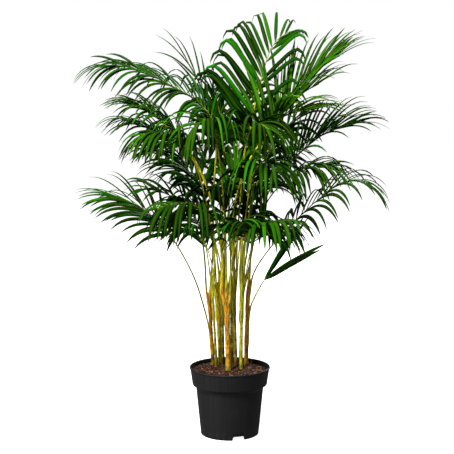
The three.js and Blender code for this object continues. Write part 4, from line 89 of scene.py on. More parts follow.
  {'name': "frond_centre_hang", 'cane': "cane_front_left", 'stalk': 2.8, 'bare': 285.615, 'pairs': 13, 'longest': 195, 'broad': 12.5, 'lift': 8, 'droop': 2.0, 'roll': [0, 0], 'spread': [44, 18], 'foot': 0.75, 'tip': 0.5, 'bend': 2.2, 'keel': -1, 'heading': None, 'dark': False, 'path': [[-27.2, -10.0, 429.5], [-26.8, -11.9, 455.6], [-26.0, -14.4, 481.7], [-24.8, -17.1, 507.7], [-23.1, -19.3, 533.8], [-20.2, -18.9, 559.8], [-16.7, -17.6, 585.7], [-12.9, -16.0, 611.6], [-8.7, -14.4, 637.4], [-5.0, -11.7, 663.2], [-1.7, -8.5, 689.0], [1.8, -5.2, 714.8], [6.2, -1.5, 740.4], [11.5, 3.2, 765.6], [18.8, 10.1, 789.7], [30.8, 22.8, 808.6], [48.6, 40.7, 803.9]], 'set': "0000101223030022020800-0-1"},
  {'name': "frond_mid_left_hang", 'cane': "cane_left_slender", 'stalk': 2.8, 'bare': 294.389, 'pairs': 13, 'longest': 190, 'broad': 12.5, 'lift': 14, 'droop': 1.3, 'roll': [14, 4], 'spread': [46, 18], 'foot': 0.75, 'tip': 0.5, 'bend': 2.0, 'keel': 1, 'heading': None, 'dark': False, 'path': [[-55.6, -35.4, 411.7], [-55.2, -34.8, 439.5], [-55.0, -33.5, 467.2], [-53.9, -31.8, 494.9], [-51.2, -29.8, 522.4], [-50.2, -27.9, 550.1], [-51.1, -25.7, 577.8], [-53.2, -23.3, 605.4], [-56.0, -20.8, 632.9], [-60.5, -18.1, 660.1], [-66.1, -15.1, 687.2], [-72.7, -12.0, 714.0], [-82.4, -8.1, 739.7], [-96.0, -2.5, 763.2], [-115.2, 4.7, 781.7], [-140.1, 13.0, 789.6], [-165.5, 22.0, 783.4]], 'set': "0700000e03030i270000000000"},
  {'name': "frond_mid_right_hang", 'cane': "cane_back_centre", 'stalk': 2.8, 'bare': 278.853, 'pairs': 12, 'longest': 185, 'broad': 12.5, 'lift': 6, 'droop': 2.8, 'roll': [0, 0], 'spread': [58, 22], 'foot': 0.75, 'tip': 0.5, 'bend': 1.5, 'keel': -1, 'heading': None, 'dark': False, 'path': [[12.5, 34.5, 405.2], [12.5, 31.5, 430.4], [12.5, 27.7, 455.4], [12.4, 22.6, 480.3], [13.1, 17.2, 505.0], [14.6, 12.1, 529.8], [17.7, 7.6, 554.6], [22.2, 3.8, 579.2], [27.3, 0.1, 603.8], [33.3, -4.7, 627.9], [40.9, -9.7, 651.6], [49.4, -14.8, 674.9], [58.4, -22.2, 697.4], [69.0, -32.4, 718.0], [82.5, -45.7, 734.6], [99.5, -62.5, 742.3], [114.8, -82.0, 737.5]], 'set': "b0-0l5o60lc42m31310hh7--"},
  {'name': "frond_inner_low_left", 'cane': "cane_front_left", 'stalk': 2.6, 'bare': 193.781, 'pairs': 11, 'longest': 165, 'broad': 12, 'lift': 8, 'droop': 1.7, 'roll': [0, 0], 'spread': [54, 20], 'foot': 0.75, 'tip': 0.5, 'bend': 2.0, 'keel': -1, 'heading': None, 'dark': False, 'path': [[-40.9, 6.1, 378.6], [-42.8, 2.6, 398.4], [-44.8, -1.6, 418.0], [-47.0, -11.2, 435.6], [-48.6, -21.1, 453.1], [-48.3, -30.1, 471.2], [-48.9, -37.9, 489.7], [-51.5, -42.2, 509.3], [-54.9, -46.6, 528.7], [-59.9, -51.3, 547.6], [-65.5, -56.3, 566.4], [-73.3, -62.9, 583.7], [-83.4, -71.1, 599.2], [-95.7, -80.8, 611.9], [-111.2, -91.0, 619.4], [-128.3, -101.6, 620.3], [-145.0, -112.0, 615.9]], 'set': "008045470408020000000n"},
  {'name': "frond_back_low_right", 'cane': "cane_back_right", 'stalk': 2.6, 'bare': 204.693, 'pairs': 11, 'longest': 180, 'broad': 14, 'lift': 10, 'droop': 2.2, 'roll': [0, 0], 'spread': [60, 22], 'foot': 0.75, 'tip': 0.5, 'bend': 1.5, 'keel': -1, 'heading': None, 'dark': True, 'path': [[39.3, 55.4, 366.6], [40.7, 57.2, 390.3], [42.6, 59.7, 413.9], [45.4, 63.9, 437.1], [48.5, 69.4, 460.1], [51.7, 75.8, 482.8], [55.6, 86.8, 503.4], [59.9, 99.0, 523.4], [65.9, 114.1, 540.8], [72.2, 129.6, 557.7], [80.4, 147.0, 571.7], [90.3, 165.3, 583.3], [102.2, 184.5, 590.5], [115.7, 203.9, 593.1], [129.9, 222.8, 591.1], [144.4, 240.2, 583.8], [158.7, 256.0, 573.2]], 'set': "0200000100000000050002"},
]

STANCES = [[0, 0, 1, 1], [7, 0, 1, 1], [-7, 0, 1, 1], [0, 9, 1, 1], [0, -9, 1, 1.0], [8, 9, 1, 1.1], [-8, -9, 1, 0.9], [13, 0, 0.95, 1.2], [-13, 0, 0.95, 0.8], [0, 17, 0.95, 1.0], [0, -17, 0.95, 1.0], [10, -14, 0.9, 1.3], [-10, 14, 0.9, 0.7], [18, 14, 0.85, 0.6], [-18, -14, 0.85, 1.5], [22, 0, 0.8, 1.0], [-20, 22, 0.8, 1.0], [0, 28, 0.75, 0.5], [0, -28, 0.75, 1.4], [26, 20, 0.65, 0.5], [-24, -24, 0.65, 0.8], [12, 34, 0.6, 0.4], [14, -34, 0.6, 0.9], [30, -10, 0.5, 0.3], [-26, 30, 0.5, 0.3]]


STEPS = 9
UP = np.array([0.0, 0.0, 1.0])
GOLD = {  # how yellow a frond's stalk is: 0 green, 0.5 yellow, 1 golden orange
    "frond_left_big": 0.58, "frond_top_right": 0.56, "frond_top_front": 0.34, "frond_right_yellow": 0.46,
    "frond_top": 0.40, "frond_upper_left": 0.16, "frond_left_low_long": 0.24, "frond_right_arch": 0.42,
    "frond_left_front": 0.22, "frond_front_centre_left": 0.22, "frond_front_centre_right": 0.26,
    "frond_right_bifid": 0.30, "frond_right_front_hang": 0.42, "frond_front_left_low": 0.34, "frond_low_star": 0.45,
}
LIME = {  # how much lighter and yellower a frond's leaflets are than the rest
    "frond_top_right": 0.20, "frond_top_front": 0.24, "frond_right_yellow": 0.34, "frond_right_mid": 0.14,
    "frond_left_front": 0.14, "frond_front_centre_left": 0.12, "frond_front_centre_right": 0.12, "frond_left_big": 0.08,
    "frond_front_left_low": 0.07, "frond_right_front_hang": 0.10, "frond_front_right_low": 0.07, "frond_centre_hang": 0.12,
}
CANE_LOOK = {  # gold at the foot, middle and top, then brown patches at the foot, middle and top
    "cane_front_centre": (0.80, 1.00, 0.92, 0.25, 0.30, 0.15), "cane_front_left": (0.50, 0.66, 0.58, 0.45, 0.12, 0.05),
    # cane_centre_right and the three back canes get low gold, greener and darker: partly their own colour, partly
    # painted shade for the shadow they stand in
    "cane_left": (0.70, 0.92, 1.00, 0.95, 0.60, 0.10), "cane_centre_right": (0.40, 0.30, 0.26, 0.85, 0.40, 0.10),
    "cane_front_right": (0.48, 0.46, 0.44, 0.20, 0.05, 0.00), "cane_right": (0.95, 1.00, 0.98, 0.60, 0.40, 0.10),
    "cane_back_left": (0.36, 0.30, 0.20, 1.00, 0.75, 0.25), "cane_back_centre": (0.40, 0.45, 0.24, 1.00, 0.65, 0.25),
    "cane_back_right": (0.40, 0.36, 0.22, 0.95, 0.60, 0.20), "cane_left_slender": (0.55, 0.60, 0.60, 0.70, 0.45, 0.15),
}


def along(a, b, c, k):
    """a at the foot, b in the middle and c at the top"""
    return a + (b - a) * smooth(k * 2) + (c - b) * smooth(k * 2 - 1)


# ---------------------------------------------------------------- numbers
def scatter(i, j, k):
    m = 0xFFFFFFFF
    h = ((i + 1) * 374761393 ^ (j + 1) * 668265263 ^ (k + 1) * 1274126177) & m
    h = ((h ^ (h >> 13)) * 1103515245) & m
    h = ((h ^ (h >> 15)) * 2246822519) & m
    return ((h ^ (h >> 16)) & m) / 4294967296.0


def unit(v):
    return v / np.linalg.norm(v)


def smooth(x):
    x = min(1.0, max(0.0, x))
    return x * x * (3 - 2 * x)


def through(points, per):
    p = np.asarray(points, float)
    q = np.vstack([2 * p[0] - p[1], p, 2 * p[-1] - p[-2]])
    out = []
    for i in range(1, len(q) - 2):
        a, b, c, d = q[i - 1 : i + 3]
        for k in range(per):
            t = k / per
            out.append(0.5 * (2 * b + (c - a) * t + (2 * a - 5 * b + 4 * c - d) * t * t + (3 * b - a - 3 * c + d) * t**3))
    out.append(q[-2])
    return np.array(out)


class Line:
    def __init__(self, points, per=10):
        self.c = through(points, per)
        self.d = np.r_[0, np.cumsum(np.linalg.norm(np.diff(self.c, axis=0), axis=1))]
        self.length = self.d[-1]

    def at(self, s):
        return np.array([np.interp(s, self.d, self.c[:, k]) for k in range(3)])

    def tangent(self, s, e=4.0):
        return unit(self.at(min(s + e, self.length)) - self.at(max(s - e, 0)))


# ---------------------------------------------------------------- mesh helper
class Build:
    """Vertices, faces, a material index, per-corner UVs and one per-vertex colour."""

    def __init__(self):
        self.v, self.f, self.m, self.uv, self.tint = [], [], [], [], []
        self.n = 0

    def add(self, verts, tint):
        verts = np.asarray(verts, float)
        o = self.n
        self.v.append(verts)
        t = np.asarray(tint, float)
        if t.ndim == 1:
            t = np.tile(t, (len(verts), 1))
        self.tint.append(t)
        self.n += len(verts)
        return o

    def face(self, idx, mat, uv):
        self.f.append(idx)
        self.m.append(mat)
        self.uv.extend(uv)

    def object(self, name, mats, smooth_all=True, scale=0.001):
        me = bpy.data.meshes.new(name)
        v = np.vstack(self.v) * scale
        me.from_pydata(v.tolist(), [], self.f)
        for m in mats:
            me.materials.append(m)
        me.polygons.foreach_set("material_index", np.array(self.m, np.int32))
        me.polygons.foreach_set("use_smooth", np.full(len(self.f), smooth_all))
        lay = me.uv_layers.new(name="along")
        lay.data.foreach_set("uv", np.array(self.uv, np.float32).ravel())
        at = me.color_attributes.new("tint", "FLOAT_COLOR", "POINT")
        col = np.ones((len(v), 4), np.float32)
        col[:, :3] = np.vstack(self.tint)
        at.data.foreach_set("color", col.ravel())
        me.update()
        ob = bpy.data.objects.new(name, me)
        bpy.context.scene.collection.objects.link(ob)
        return ob


# ---------------------------------------------------------------- materials
class Nodes:
    def __init__(self, name):
        self.mat = bpy.data.materials.new(name)
        self.mat.use_nodes = True
        self.t = self.mat.node_tree
        self.b = self.t.nodes["Principled BSDF"]

    def n(self, kind, **k):
        x = self.t.nodes.new(kind)
        for a, v in k.items():
            if a.startswith("in_"):
                x.inputs[a[3:].replace("_", " ")].default_value = v
            else:
                setattr(x, a, v)
        return x

    def link(self, a, b):
        self.t.links.new(a, b)

    def tint(self):
        a = self.n("ShaderNodeAttribute", attribute_name="tint")
        s = self.n("ShaderNodeSeparateColor")
        self.link(a.outputs["Color"], s.inputs[0])
        return s.outputs

    def uv(self):
        a = self.n("ShaderNodeUVMap", uv_map="along")
        s = self.n("ShaderNodeSeparateXYZ")
        self.link(a.outputs[0], s.inputs[0])
        return s.outputs

    def math(self, op, a, b=None, clamp=False):
        m = self.n("ShaderNodeMath", operation=op, use_clamp=clamp)
        for i, x in enumerate((a, b)):
            if x is None:
                continue
            if isinstance(x, (int, float)):
                m.inputs[i].default_value = x
            else:
                self.link(x, m.inputs[i])
        return m.outputs[0]

    def mix(self, fac, a, b, kind="MIX"):
        m = self.n("ShaderNodeMix", data_type="RGBA", blend_type=kind)
        for i, x in ((0, fac), (6, a), (7, b)):
            if isinstance(x, (int, float)):
                m.inputs[i].default_value = x
            elif isinstance(x, tuple):
                m.inputs[i].default_value = (*x, 1) if len(x) == 3 else x
            else:
                self.link(x, m.inputs[i])
        return m.outputs[2]

    def ramp(self, x, lo, hi, a=0.0, b=1.0):
        r = self.n("ShaderNodeMapRange", interpolation_type="SMOOTHSTEP")
        self.link(x, r.inputs[0])
        r.inputs[1].default_value, r.inputs[2].default_value = lo, hi
        r.inputs[3].default_value, r.inputs[4].default_value = a, b
        return r.outputs[0]

    def coords(self, scale=(1, 1, 1)):
        c = self.n("ShaderNodeTexCoord")
        m = self.n("ShaderNodeMapping")
        m.inputs["Scale"].default_value = scale
        self.link(c.outputs["Object"], m.inputs[0])
        return m.outputs[0]

    def noise(self, vec, scale, detail=3.0, rough=0.55):
        x = self.n("ShaderNodeTexNoise")
        x.inputs["Scale"].default_value = scale
        x.inputs["Detail"].default_value = detail
        x.inputs["Roughness"].default_value = rough
        self.link(vec, x.inputs["Vector"])
        return x.outputs[0]

    def uvvec(self, sx, sy):
        a = self.n("ShaderNodeUVMap", uv_map="along")
        m = self.n("ShaderNodeMapping")
        m.inputs["Scale"].default_value = (sx, sy, 1)
        self.link(a.outputs[0], m.inputs[0])
        return m.outputs[0]

    def bump(self, height, strength, dist):
        b = self.n("ShaderNodeBump")
        b.inputs["Strength"].default_value = strength
        b.inputs["Distance"].default_value = dist
        self.link(height, b.inputs["Height"])
        self.link(b.outputs[0], self.b.inputs["Normal"])

    def out(self, colour, rough=None):
        self.link(colour, self.b.inputs["Base Color"])
        if rough is not None:
            if isinstance(rough, float):
                self.b.inputs["Roughness"].default_value = rough
            else:
                self.link(rough, self.b.inputs["Roughness"])


def leaf_material(name, dark, mid, yellow, rib, rough, vein=0.25):
    k = Nodes(name)
    t, uv = k.tint(), k.uv()
    obj = k.coords()
    # per-leaflet tone at random from dark to mid; the near-black dark end is painted shade standing in for shaded and
    # backlit leaflets
    base = k.mix(t[0], dark, mid)
    base = k.mix(k.ramp(t[0], 0.72, 1.0, 0.0, 0.75), base, k.mix(1.0, base, (3.4, 2.9, 2.0), "MULTIPLY"))  # the brightest leaflets, picked at random and lightened further: painted highlight standing in for leaflets in full light
    cloud = k.noise(obj, 22.0, 3.0)
    base = k.mix(k.ramp(cloud, 0.35, 0.7, 0.0, 0.35), base, k.mix(1.0, base, (1.8, 1.5, 1.1), "MULTIPLY"))
    base = k.mix(t[1], base, yellow)
    # parallel veins: fine light and dark lines along the leaflet
    across = k.math("MULTIPLY", uv[0], 62.0)
    line = k.math("SINE", across)
    fine = k.noise(k.uvvec(46.0, 2.2), 1.0, 2.0)
    veins = k.math("ADD", k.math("MULTIPLY", line, 0.5), k.math("MULTIPLY", fine, 1.2))
    base = k.mix(k.ramp(veins, -0.2, 1.4, 0.0, vein), base, k.mix(1.0, base, (0.55, 0.62, 0.5), "MULTIPLY"))
    # midrib and margins
    off = k.math("ABSOLUTE", k.math("SUBTRACT", uv[0], 0.5))
    base = k.mix(k.ramp(off, 0.05, 0.022, 0.0, 0.8), base, rib)
    base = k.mix(k.ramp(off, 0.47, 0.5, 0.0, 0.2), base, (0.06, 0.11, 0.01))
    # dry tip
    base = k.mix(k.math("MULTIPLY", k.ramp(uv[1], 0.93, 1.0), t[2]), base, (0.20, 0.12, 0.045))
    k.out(base, k.ramp(fine, 0.3, 0.7, rough - 0.05, rough + 0.09))
    h = k.math("ADD", k.math("MULTIPLY", veins, 0.5), k.ramp(off, 0.06, 0.0))
    k.bump(h, 0.22, 0.0004)
    k.b.inputs["Specular IOR Level"].default_value = 0.03
    return k.mat


def stem_material(name):
    """Canes, sheaths and stalks: tint x is green to yellow to golden, y brown patches, z leaf-scar rings."""
    k = Nodes(name)
    t, uv = k.tint(), k.uv()
    obj = k.coords()
    base = k.mix(k.ramp(t[0], 0.0, 0.5), (0.030, 0.095, 0.002), (0.74, 0.66, 0.012))
    base = k.mix(k.ramp(t[0], 0.5, 1.0), base, (1.00, 0.42, 0.012))
    # dark streaks along stalks and canes: partly real streaking, partly painted shade standing in for the dark gaps
    # between stems
    long = k.noise(k.uvvec(13.0, 5.0), 1.0, 4.0)
    base = k.mix(k.ramp(long, 0.42, 0.62, 0.0, 0.85), base, k.mix(1.0, base, (0.11, 0.19, 0.09), "MULTIPLY"))
    pale = k.noise(k.uvvec(9.0, 3.0), 1.3, 3.0)
    base = k.mix(k.ramp(pale, 0.54, 0.72, 0.0, 0.45), base, (0.95, 0.90, 0.17))
    patch = k.noise(obj, 42.0, 4.0)
    base = k.mix(k.math("MULTIPLY", k.ramp(patch, 0.40, 0.54), t[1]), base, (0.060, 0.018, 0.007))
    v = k.n("ShaderNodeTexVoronoi", feature="F1")
    v.inputs["Scale"].default_value = 420.0
    k.link(k.coords((1, 1, 0.5)), v.inputs["Vector"])
    dots = k.math("MULTIPLY", k.ramp(v.outputs["Distance"], 0.24, 0.14), k.ramp(k.noise(obj, 90.0, 2.0), 0.44, 0.58))
    base = k.mix(k.math("MULTIPLY", dots, k.math("ADD", t[1], 0.2, True)), base, (0.03, 0.016, 0.008))
    base = k.mix(t[2], base, (0.11, 0.052, 0.018))
    k.out(base, k.ramp(long, 0.3, 0.7, 0.34, 0.50))
    k.bump(k.math("ADD", long, k.math("MULTIPLY", patch, 0.5)), 0.3, 0.0006)
    k.b.inputs["Specular IOR Level"].default_value = 0.35
    return k.mat


def soil_material():
    k = Nodes("soil_mix")
    t = k.tint()
    obj = k.coords()
    grit = k.noise(obj, 420.0, 5.0, 0.7)
    base = k.mix(t[0], (0.004, 0.0012, 0.0004), (0.080, 0.032, 0.013))
    base = k.mix(k.ramp(grit, 0.35, 0.7, 0.0, 0.7), base, k.mix(1.0, base, (0.35, 0.33, 0.32), "MULTIPLY"))
    base = k.mix(t[1], base, (0.42, 0.38, 0.33))  # perlite
    base = k.mix(t[2], base, (0.24, 0.085, 0.035))  # reddish bark
    k.out(base, 0.92)
    k.bump(grit, 0.6, 0.0012)
    k.b.inputs["Specular IOR Level"].default_value = 0.25
    return k.mat


def pot_material():
    k = Nodes("pot_plastic")
    obj = k.coords()
    s = k.n("ShaderNodeSeparateXYZ")
    k.link(obj, s.inputs[0])
    ang = k.math("ARCTAN2", s.outputs[1], s.outputs[0])
    comb = k.n("ShaderNodeCombineXYZ")
    k.link(k.math("MULTIPLY", ang, 26.0), comb.inputs[0])
    k.link(k.math("MULTIPLY", s.outputs[2], 2.5), comb.inputs[2])
    streak = k.noise(comb.outputs[0], 1.0, 3.0, 0.6)
    ribs = k.math("SINE", k.math("MULTIPLY", ang, 72.0))
    cloud = k.noise(obj, 18.0, 4.0)
    base = k.mix(k.ramp(streak, 0.3, 0.7), (0.0060, 0.0061, 0.0063), (0.0092, 0.0094, 0.0097))
    base = k.mix(k.ramp(cloud, 0.5, 0.8, 0.0, 0.35), base, (0.018, 0.0175, 0.017))
    # a little dried soil dust low on the body
    dust = k.math("MULTIPLY", k.ramp(s.outputs[2], 0.03, 0.0, 0.0, 0.22), k.ramp(k.noise(obj, 60.0, 4.0), 0.45, 0.65))
    base = k.mix(dust, base, (0.10, 0.075, 0.055))
    k.out(base, k.ramp(streak, 0.3, 0.7, 0.50, 0.62))
    k.b.inputs["Specular IOR Level"].default_value = 0.22
    grain = k.noise(obj, 900.0, 2.0)
    h = k.math("ADD", k.math("MULTIPLY", streak, 0.7), k.math("ADD", k.math("MULTIPLY", ribs, 0.22), k.math("MULTIPLY", grain, 0.18)))
    k.bump(h, 0.35, 0.0008)
    return k.mat


# the first colour of each leaf material is near-black painted shade for leaflets in shadow
TOP_M = leaf_material("leaf_upper", (0.0004, 0.0038, 0.0001), (0.0034, 0.064, 0.0002), (0.085, 0.24, 0.003), (0.018, 0.115, 0.002), 0.50)
# the underside greens are darker than the upper side's: painted shade on the leaflet undersides
LOW_M = leaf_material("leaf_under", (0.0004, 0.0040, 0.0001), (0.0032, 0.040, 0.0003), (0.07, 0.17, 0.003), (0.016, 0.075, 0.002), 0.60, 0.15)
STALK_M = stem_material("stalk")
CANE_M = stem_material("cane")
SOIL_M = soil_material()
POT_M = pot_material()


# ---------------------------------------------------------------- stalks and leaflets
def length_share(u, foot, tip):
    if u < 0.38:
        v = u / 0.38
        return foot + (1 - foot) * (1 - (1 - v) ** 2)
    return 1 + (tip - 1) * ((u - 0.38) / 0.62) ** 1.7


def broad_share(q):
    if q < 0.3:
        return 0.34 + 0.66 * math.sin(0.5 * math.pi * q / 0.3)
    v = (q - 0.3) / 0.7
    return max(0.0, (1 - v**2.4)) ** 0.8


class Stalk:
    def __init__(self, f):
        self.line = Line(f["path"])
        L, s0, n = self.line.length, f["bare"], f["pairs"]
        a, b = np.array(f["path"][0]), np.array(f["path"][-1])
        if f["heading"] is None:
            head = unit(np.array([b[0] - a[0], b[1] - a[1], 0.0]))
        else:
            h = math.radians(f["heading"])
            head = np.array([math.cos(h), math.sin(h), 0.0])
        self.side = np.cross(head, UP)
        self.f, self.L, self.s0 = f, L, s0
        bare = max(4, math.floor(s0 / 38 + 0.5))
        s = [s0 * i / bare for i in range(bare)]
        s += [s0 + (L - s0 - 3) * (i / (2 * n)) for i in range(2 * n + 1)] + [L]
        self.bare = bare
        self.s = s
        self.st = [self.station(x) for x in s]

    def radius(self, s):
        f = self.f
        if s < self.s0:
            return f["stalk"] * (1 - 0.3 * smooth(s / self.s0))
        v = min(1.0, (s - self.s0) / (self.L - self.s0))
        return max(0.8, 0.7 * f["stalk"] * (1 - v) ** 0.8)

    def station(self, s):
        f = self.f
        T = self.line.tangent(s)
        v = min(1.0, max(0.0, (s - self.s0) / (self.L - self.s0)))
        roll = math.radians(f["roll"][0] + (f["roll"][1] - f["roll"][0]) * v)
        S = unit(self.side - T * np.dot(self.side, T))
        N = np.cross(S, T)
        c, k = math.cos(roll), math.sin(roll)
        return self.line.at(s), self.radius(s), T, S * c + N * k, N * c - S * k


def leaflet(f, index, stalk, pair, side, k, stance):
    u = (pair + 0.25 + 0.5 * side) / f["pairs"]
    R = lambda j: scatter(index, pair * 2 + side, j) - 0.5
    spread, lift, long, hang = STANCES[stance]
    al = math.radians(f["spread"][0] + (f["spread"][1] - f["spread"][0]) * u**1.1 + R(1) * 9 + spread)
    ph = math.radians(f["lift"] * (1 - 0.35 * u) + R(2) * 14 + lift)
    share = length_share(u, f["foot"], f["tip"])
    L = f["longest"] * share * (0.93 + 0.14 * (R(3) + 0.5)) * long
    g = f["droop"] * (0.8 + 0.45 * (R(4) + 0.5)) * hang
    pw = f["bend"] + 0.6 * (R(5) + 0.5)
    a, b = stalk.st[k], stalk.st[k + 1]
    T = unit(a[2] + b[2])
    S = unit(a[3] + b[3])
    S = unit(S - T * np.dot(S, T))
    N = np.cross(S, T)
    sd = -1.0 if side == 0 else 1.0
    d0 = T * math.cos(al) + math.sin(al) * (math.cos(ph) * sd * S + math.sin(ph) * N)
    P0 = (a[0] + b[0]) / 2 + 0.275 * (a[1] + b[1]) * (sd * S + 0.3 * N)
    tw = math.radians(18 * R(6) + 10)
    pts, dirs = [P0], []
    for j in range(STEPS):
        q = (j + 0.5) / STEPS
        d = unit(d0 - UP * g * q**pw)
        dirs.append(d)
        pts.append(pts[-1] + d * L / STEPS)
    w = unit(T - d0 * np.dot(T, d0))
    w = w * math.cos(tw) + np.cross(d0, w) * math.sin(tw) * sd
    ws = []
    for j in range(STEPS + 1):
        d = dirs[0] if j == 0 else dirs[-1] if j >= STEPS else unit(dirs[j - 1] + dirs[j])
        w = unit(w - d * np.dot(w, d))
        ws.append(w)
    broad = f["broad"] * (0.86 + 0.28 * (R(7) + 0.5)) * (0.55 + 0.45 * share)
    return np.array(pts), np.array(ws), broad, L, sd


XS = (-1.0, -0.55, -0.085, 0.0, 0.085, 0.55, 1.0)  # across the blade
XL = (0.55, 0.0, -0.55)


def blade(B, pts, ws, broad, L, sd, tint, rnd):
    """One leaflet: a folded blade with a raised midrib, closed, with a thin edge."""
    m = 15
    q9 = np.linspace(0, 1, len(pts))
    c = through(pts, 4)
    qc = np.linspace(0, 1, len(c))
    q = np.r_[0, 0.025, 0.06, np.linspace(0.11, 0.955, m - 5), 0.985]
    P = np.stack([np.interp(q, qc, c[:, k]) for k in range(3)], -1)
    W = np.stack([np.interp(q, q9, ws[:, k]) for k in range(3)], -1)
    D = np.gradient(P, axis=0)
    D /= np.linalg.norm(D, axis=1, keepdims=True)
    W -= D * (W * D).sum(1, keepdims=True)
    W /= np.linalg.norm(W, axis=1, keepdims=True)
    N = np.cross(D, W) * (1.0 if sd > 0 else -1.0)
    wave = rnd[0] * 6.28
    rows = []
    for j in range(len(q)):
        hw = 0.5 * broad * broad_share(q[j])
        tk = 0.20 + 0.25 * (1 - q[j])
        fold = 0.30 - 0.12 * q[j]
        base = 1 - smooth(q[j] / 0.07)
        hw = hw * (1 - base) + base * min(hw, 2.2)
        tk += base * 1.3
        rip = 0.05 * math.sin(wave + q[j] * 11) * hw
        up = []
        for x in XS:
            y = fold * hw * (1 - abs(x)) + (0.35 + 0.25 * (1 - q[j]) if abs(x) < 0.01 else 0.0) - 0.10 * hw * x * x
            up.append(P[j] + W[j] * (x * hw) + N[j] * (y + rip * x))
        lo = []
        for x in XL:
            y = fold * hw * (1 - abs(x)) - 0.10 * hw * x * x - tk - (0.25 if x == 0 else 0.0)
            lo.append(P[j] + W[j] * (x * hw) + N[j] * (y + rip * x))
        rows.append(up + lo)
    tip = P[-1] + D[-1] * L * 0.015
    V = np.array(rows).reshape(-1, 3)
    V = np.vstack([V, tip])
    T = np.tile(np.array(tint, float), (len(V), 1))
    # the foot of the leaflet is paler
    for j in range(3):
        T[j * 10 : j * 10 + 10, 1] = np.minimum(1, T[j * 10 : j * 10 + 10, 1] + (0.75, 0.6, 0.3)[j])
    o = B.add(V, T)
    ux = [(x + 1) / 2 for x in XS] + [(x + 1) / 2 for x in XL]
    ring = list(range(10))  # 0..6 upper, 7..9 lower
    n = len(q)
    flip = sd < 0
    for j in range(n):
        last = j == n - 1
        for i in range(10):
            i2 = (i + 1) % 10
            mat = 0 if i < 6 else 1
            a, b = o + j * 10 + ring[i], o + j * 10 + ring[i2]
            ua, ub = ux[i], ux[i2]
            if i == 9:
                ub = 0.0
            if last:
                idx, uv = [a, b, o + n * 10], [(ua, q[j]), (ub, q[j]), ((ua + ub) / 2, 1.0)]
            else:
                idx = [a, b, b + 10, a + 10]
                uv = [(ua, q[j]), (ub, q[j]), (ub, q[j + 1]), (ua, q[j + 1])]
            if not flip:
                idx, uv = idx[::-1], uv[::-1]
            B.face(idx, mat, uv)
    idx, uv = [o + i for i in range(10)], [(ux[i], 0) for i in range(10)]
    if flip:
        idx, uv = idx[::-1], uv[::-1]
    B.face(idx, 1, uv)


def sleeve(B, centres, radii, frames, tints, v0, mat, sides=14, groove=None):
    """A closed tube; frames are (S, N) pairs."""
    o = None
    for j, (c, r, (S, N)) in enumerate(zip(centres, radii, frames)):
        ring = []
        for i in range(sides):
            a = 2 * math.pi * i / sides
            rr = r
            if groove is not None and groove[j] > 0:
                d = abs((a - math.pi / 2 + math.pi) % (2 * math.pi) - math.pi)
                rr = r * (1 - 0.28 * groove[j] * math.exp(-((d / 0.5) ** 2)))
            ring.append(c + S * (rr * math.cos(a)) + N * (rr * math.sin(a)))
        k = B.add(ring, tints[j])
        o = k if o is None else o
    n = len(centres)
    for j in range(n - 1):
        for i in range(sides):
            i2 = (i + 1) % sides
            a, b = o + j * sides + i, o + j * sides + i2
            B.face([a, b, b + sides, a + sides], mat, [(i / sides, v0[j]), ((i + 1) / sides, v0[j]), ((i + 1) / sides, v0[j + 1]), (i / sides, v0[j + 1])])
    B.face([o + i for i in range(sides)][::-1], mat, [(0, v0[0])] * sides)
    e = o + (n - 1) * sides
    B.face([e + i for i in range(sides)], mat, [(0, v0[-1])] * sides)


CANE = {c["name"]: c for c in CANES}
CANE_LINE = {c["name"]: Line(c["path"]) for c in CANES}
SOIL_Z = 198.0


def cane_radius(c, z):
    top = c["path"][-1][2]
    t = min(1.0, max(0.0, (z - SOIL_Z) / (top - SOIL_Z)))
    return c["foot"] + (c["top"] - c["foot"]) * t


def cane_axis(name, z):
    """Point on the cane's axis at height z, carried on straight above its top."""
    ln = CANE_LINE[name]
    zs = ln.c[:, 2]
    if z <= zs[-1]:
        return np.array([np.interp(z, zs, ln.c[:, 0]), np.interp(z, zs, ln.c[:, 1]), z])
    T = ln.tangent(ln.length - 1)
    return ln.c[-1] + T * ((z - zs[-1]) / T[2])


order = {}
for f in FRONDS:
    order.setdefault(f["cane"], []).append((f["path"][0][2], f["name"]))
NEST = {}
for c, lst in order.items():
    for i, (_, nm) in enumerate(sorted(lst)):
        NEST[nm] = len(lst) - i  # the lowest sheath is outermost


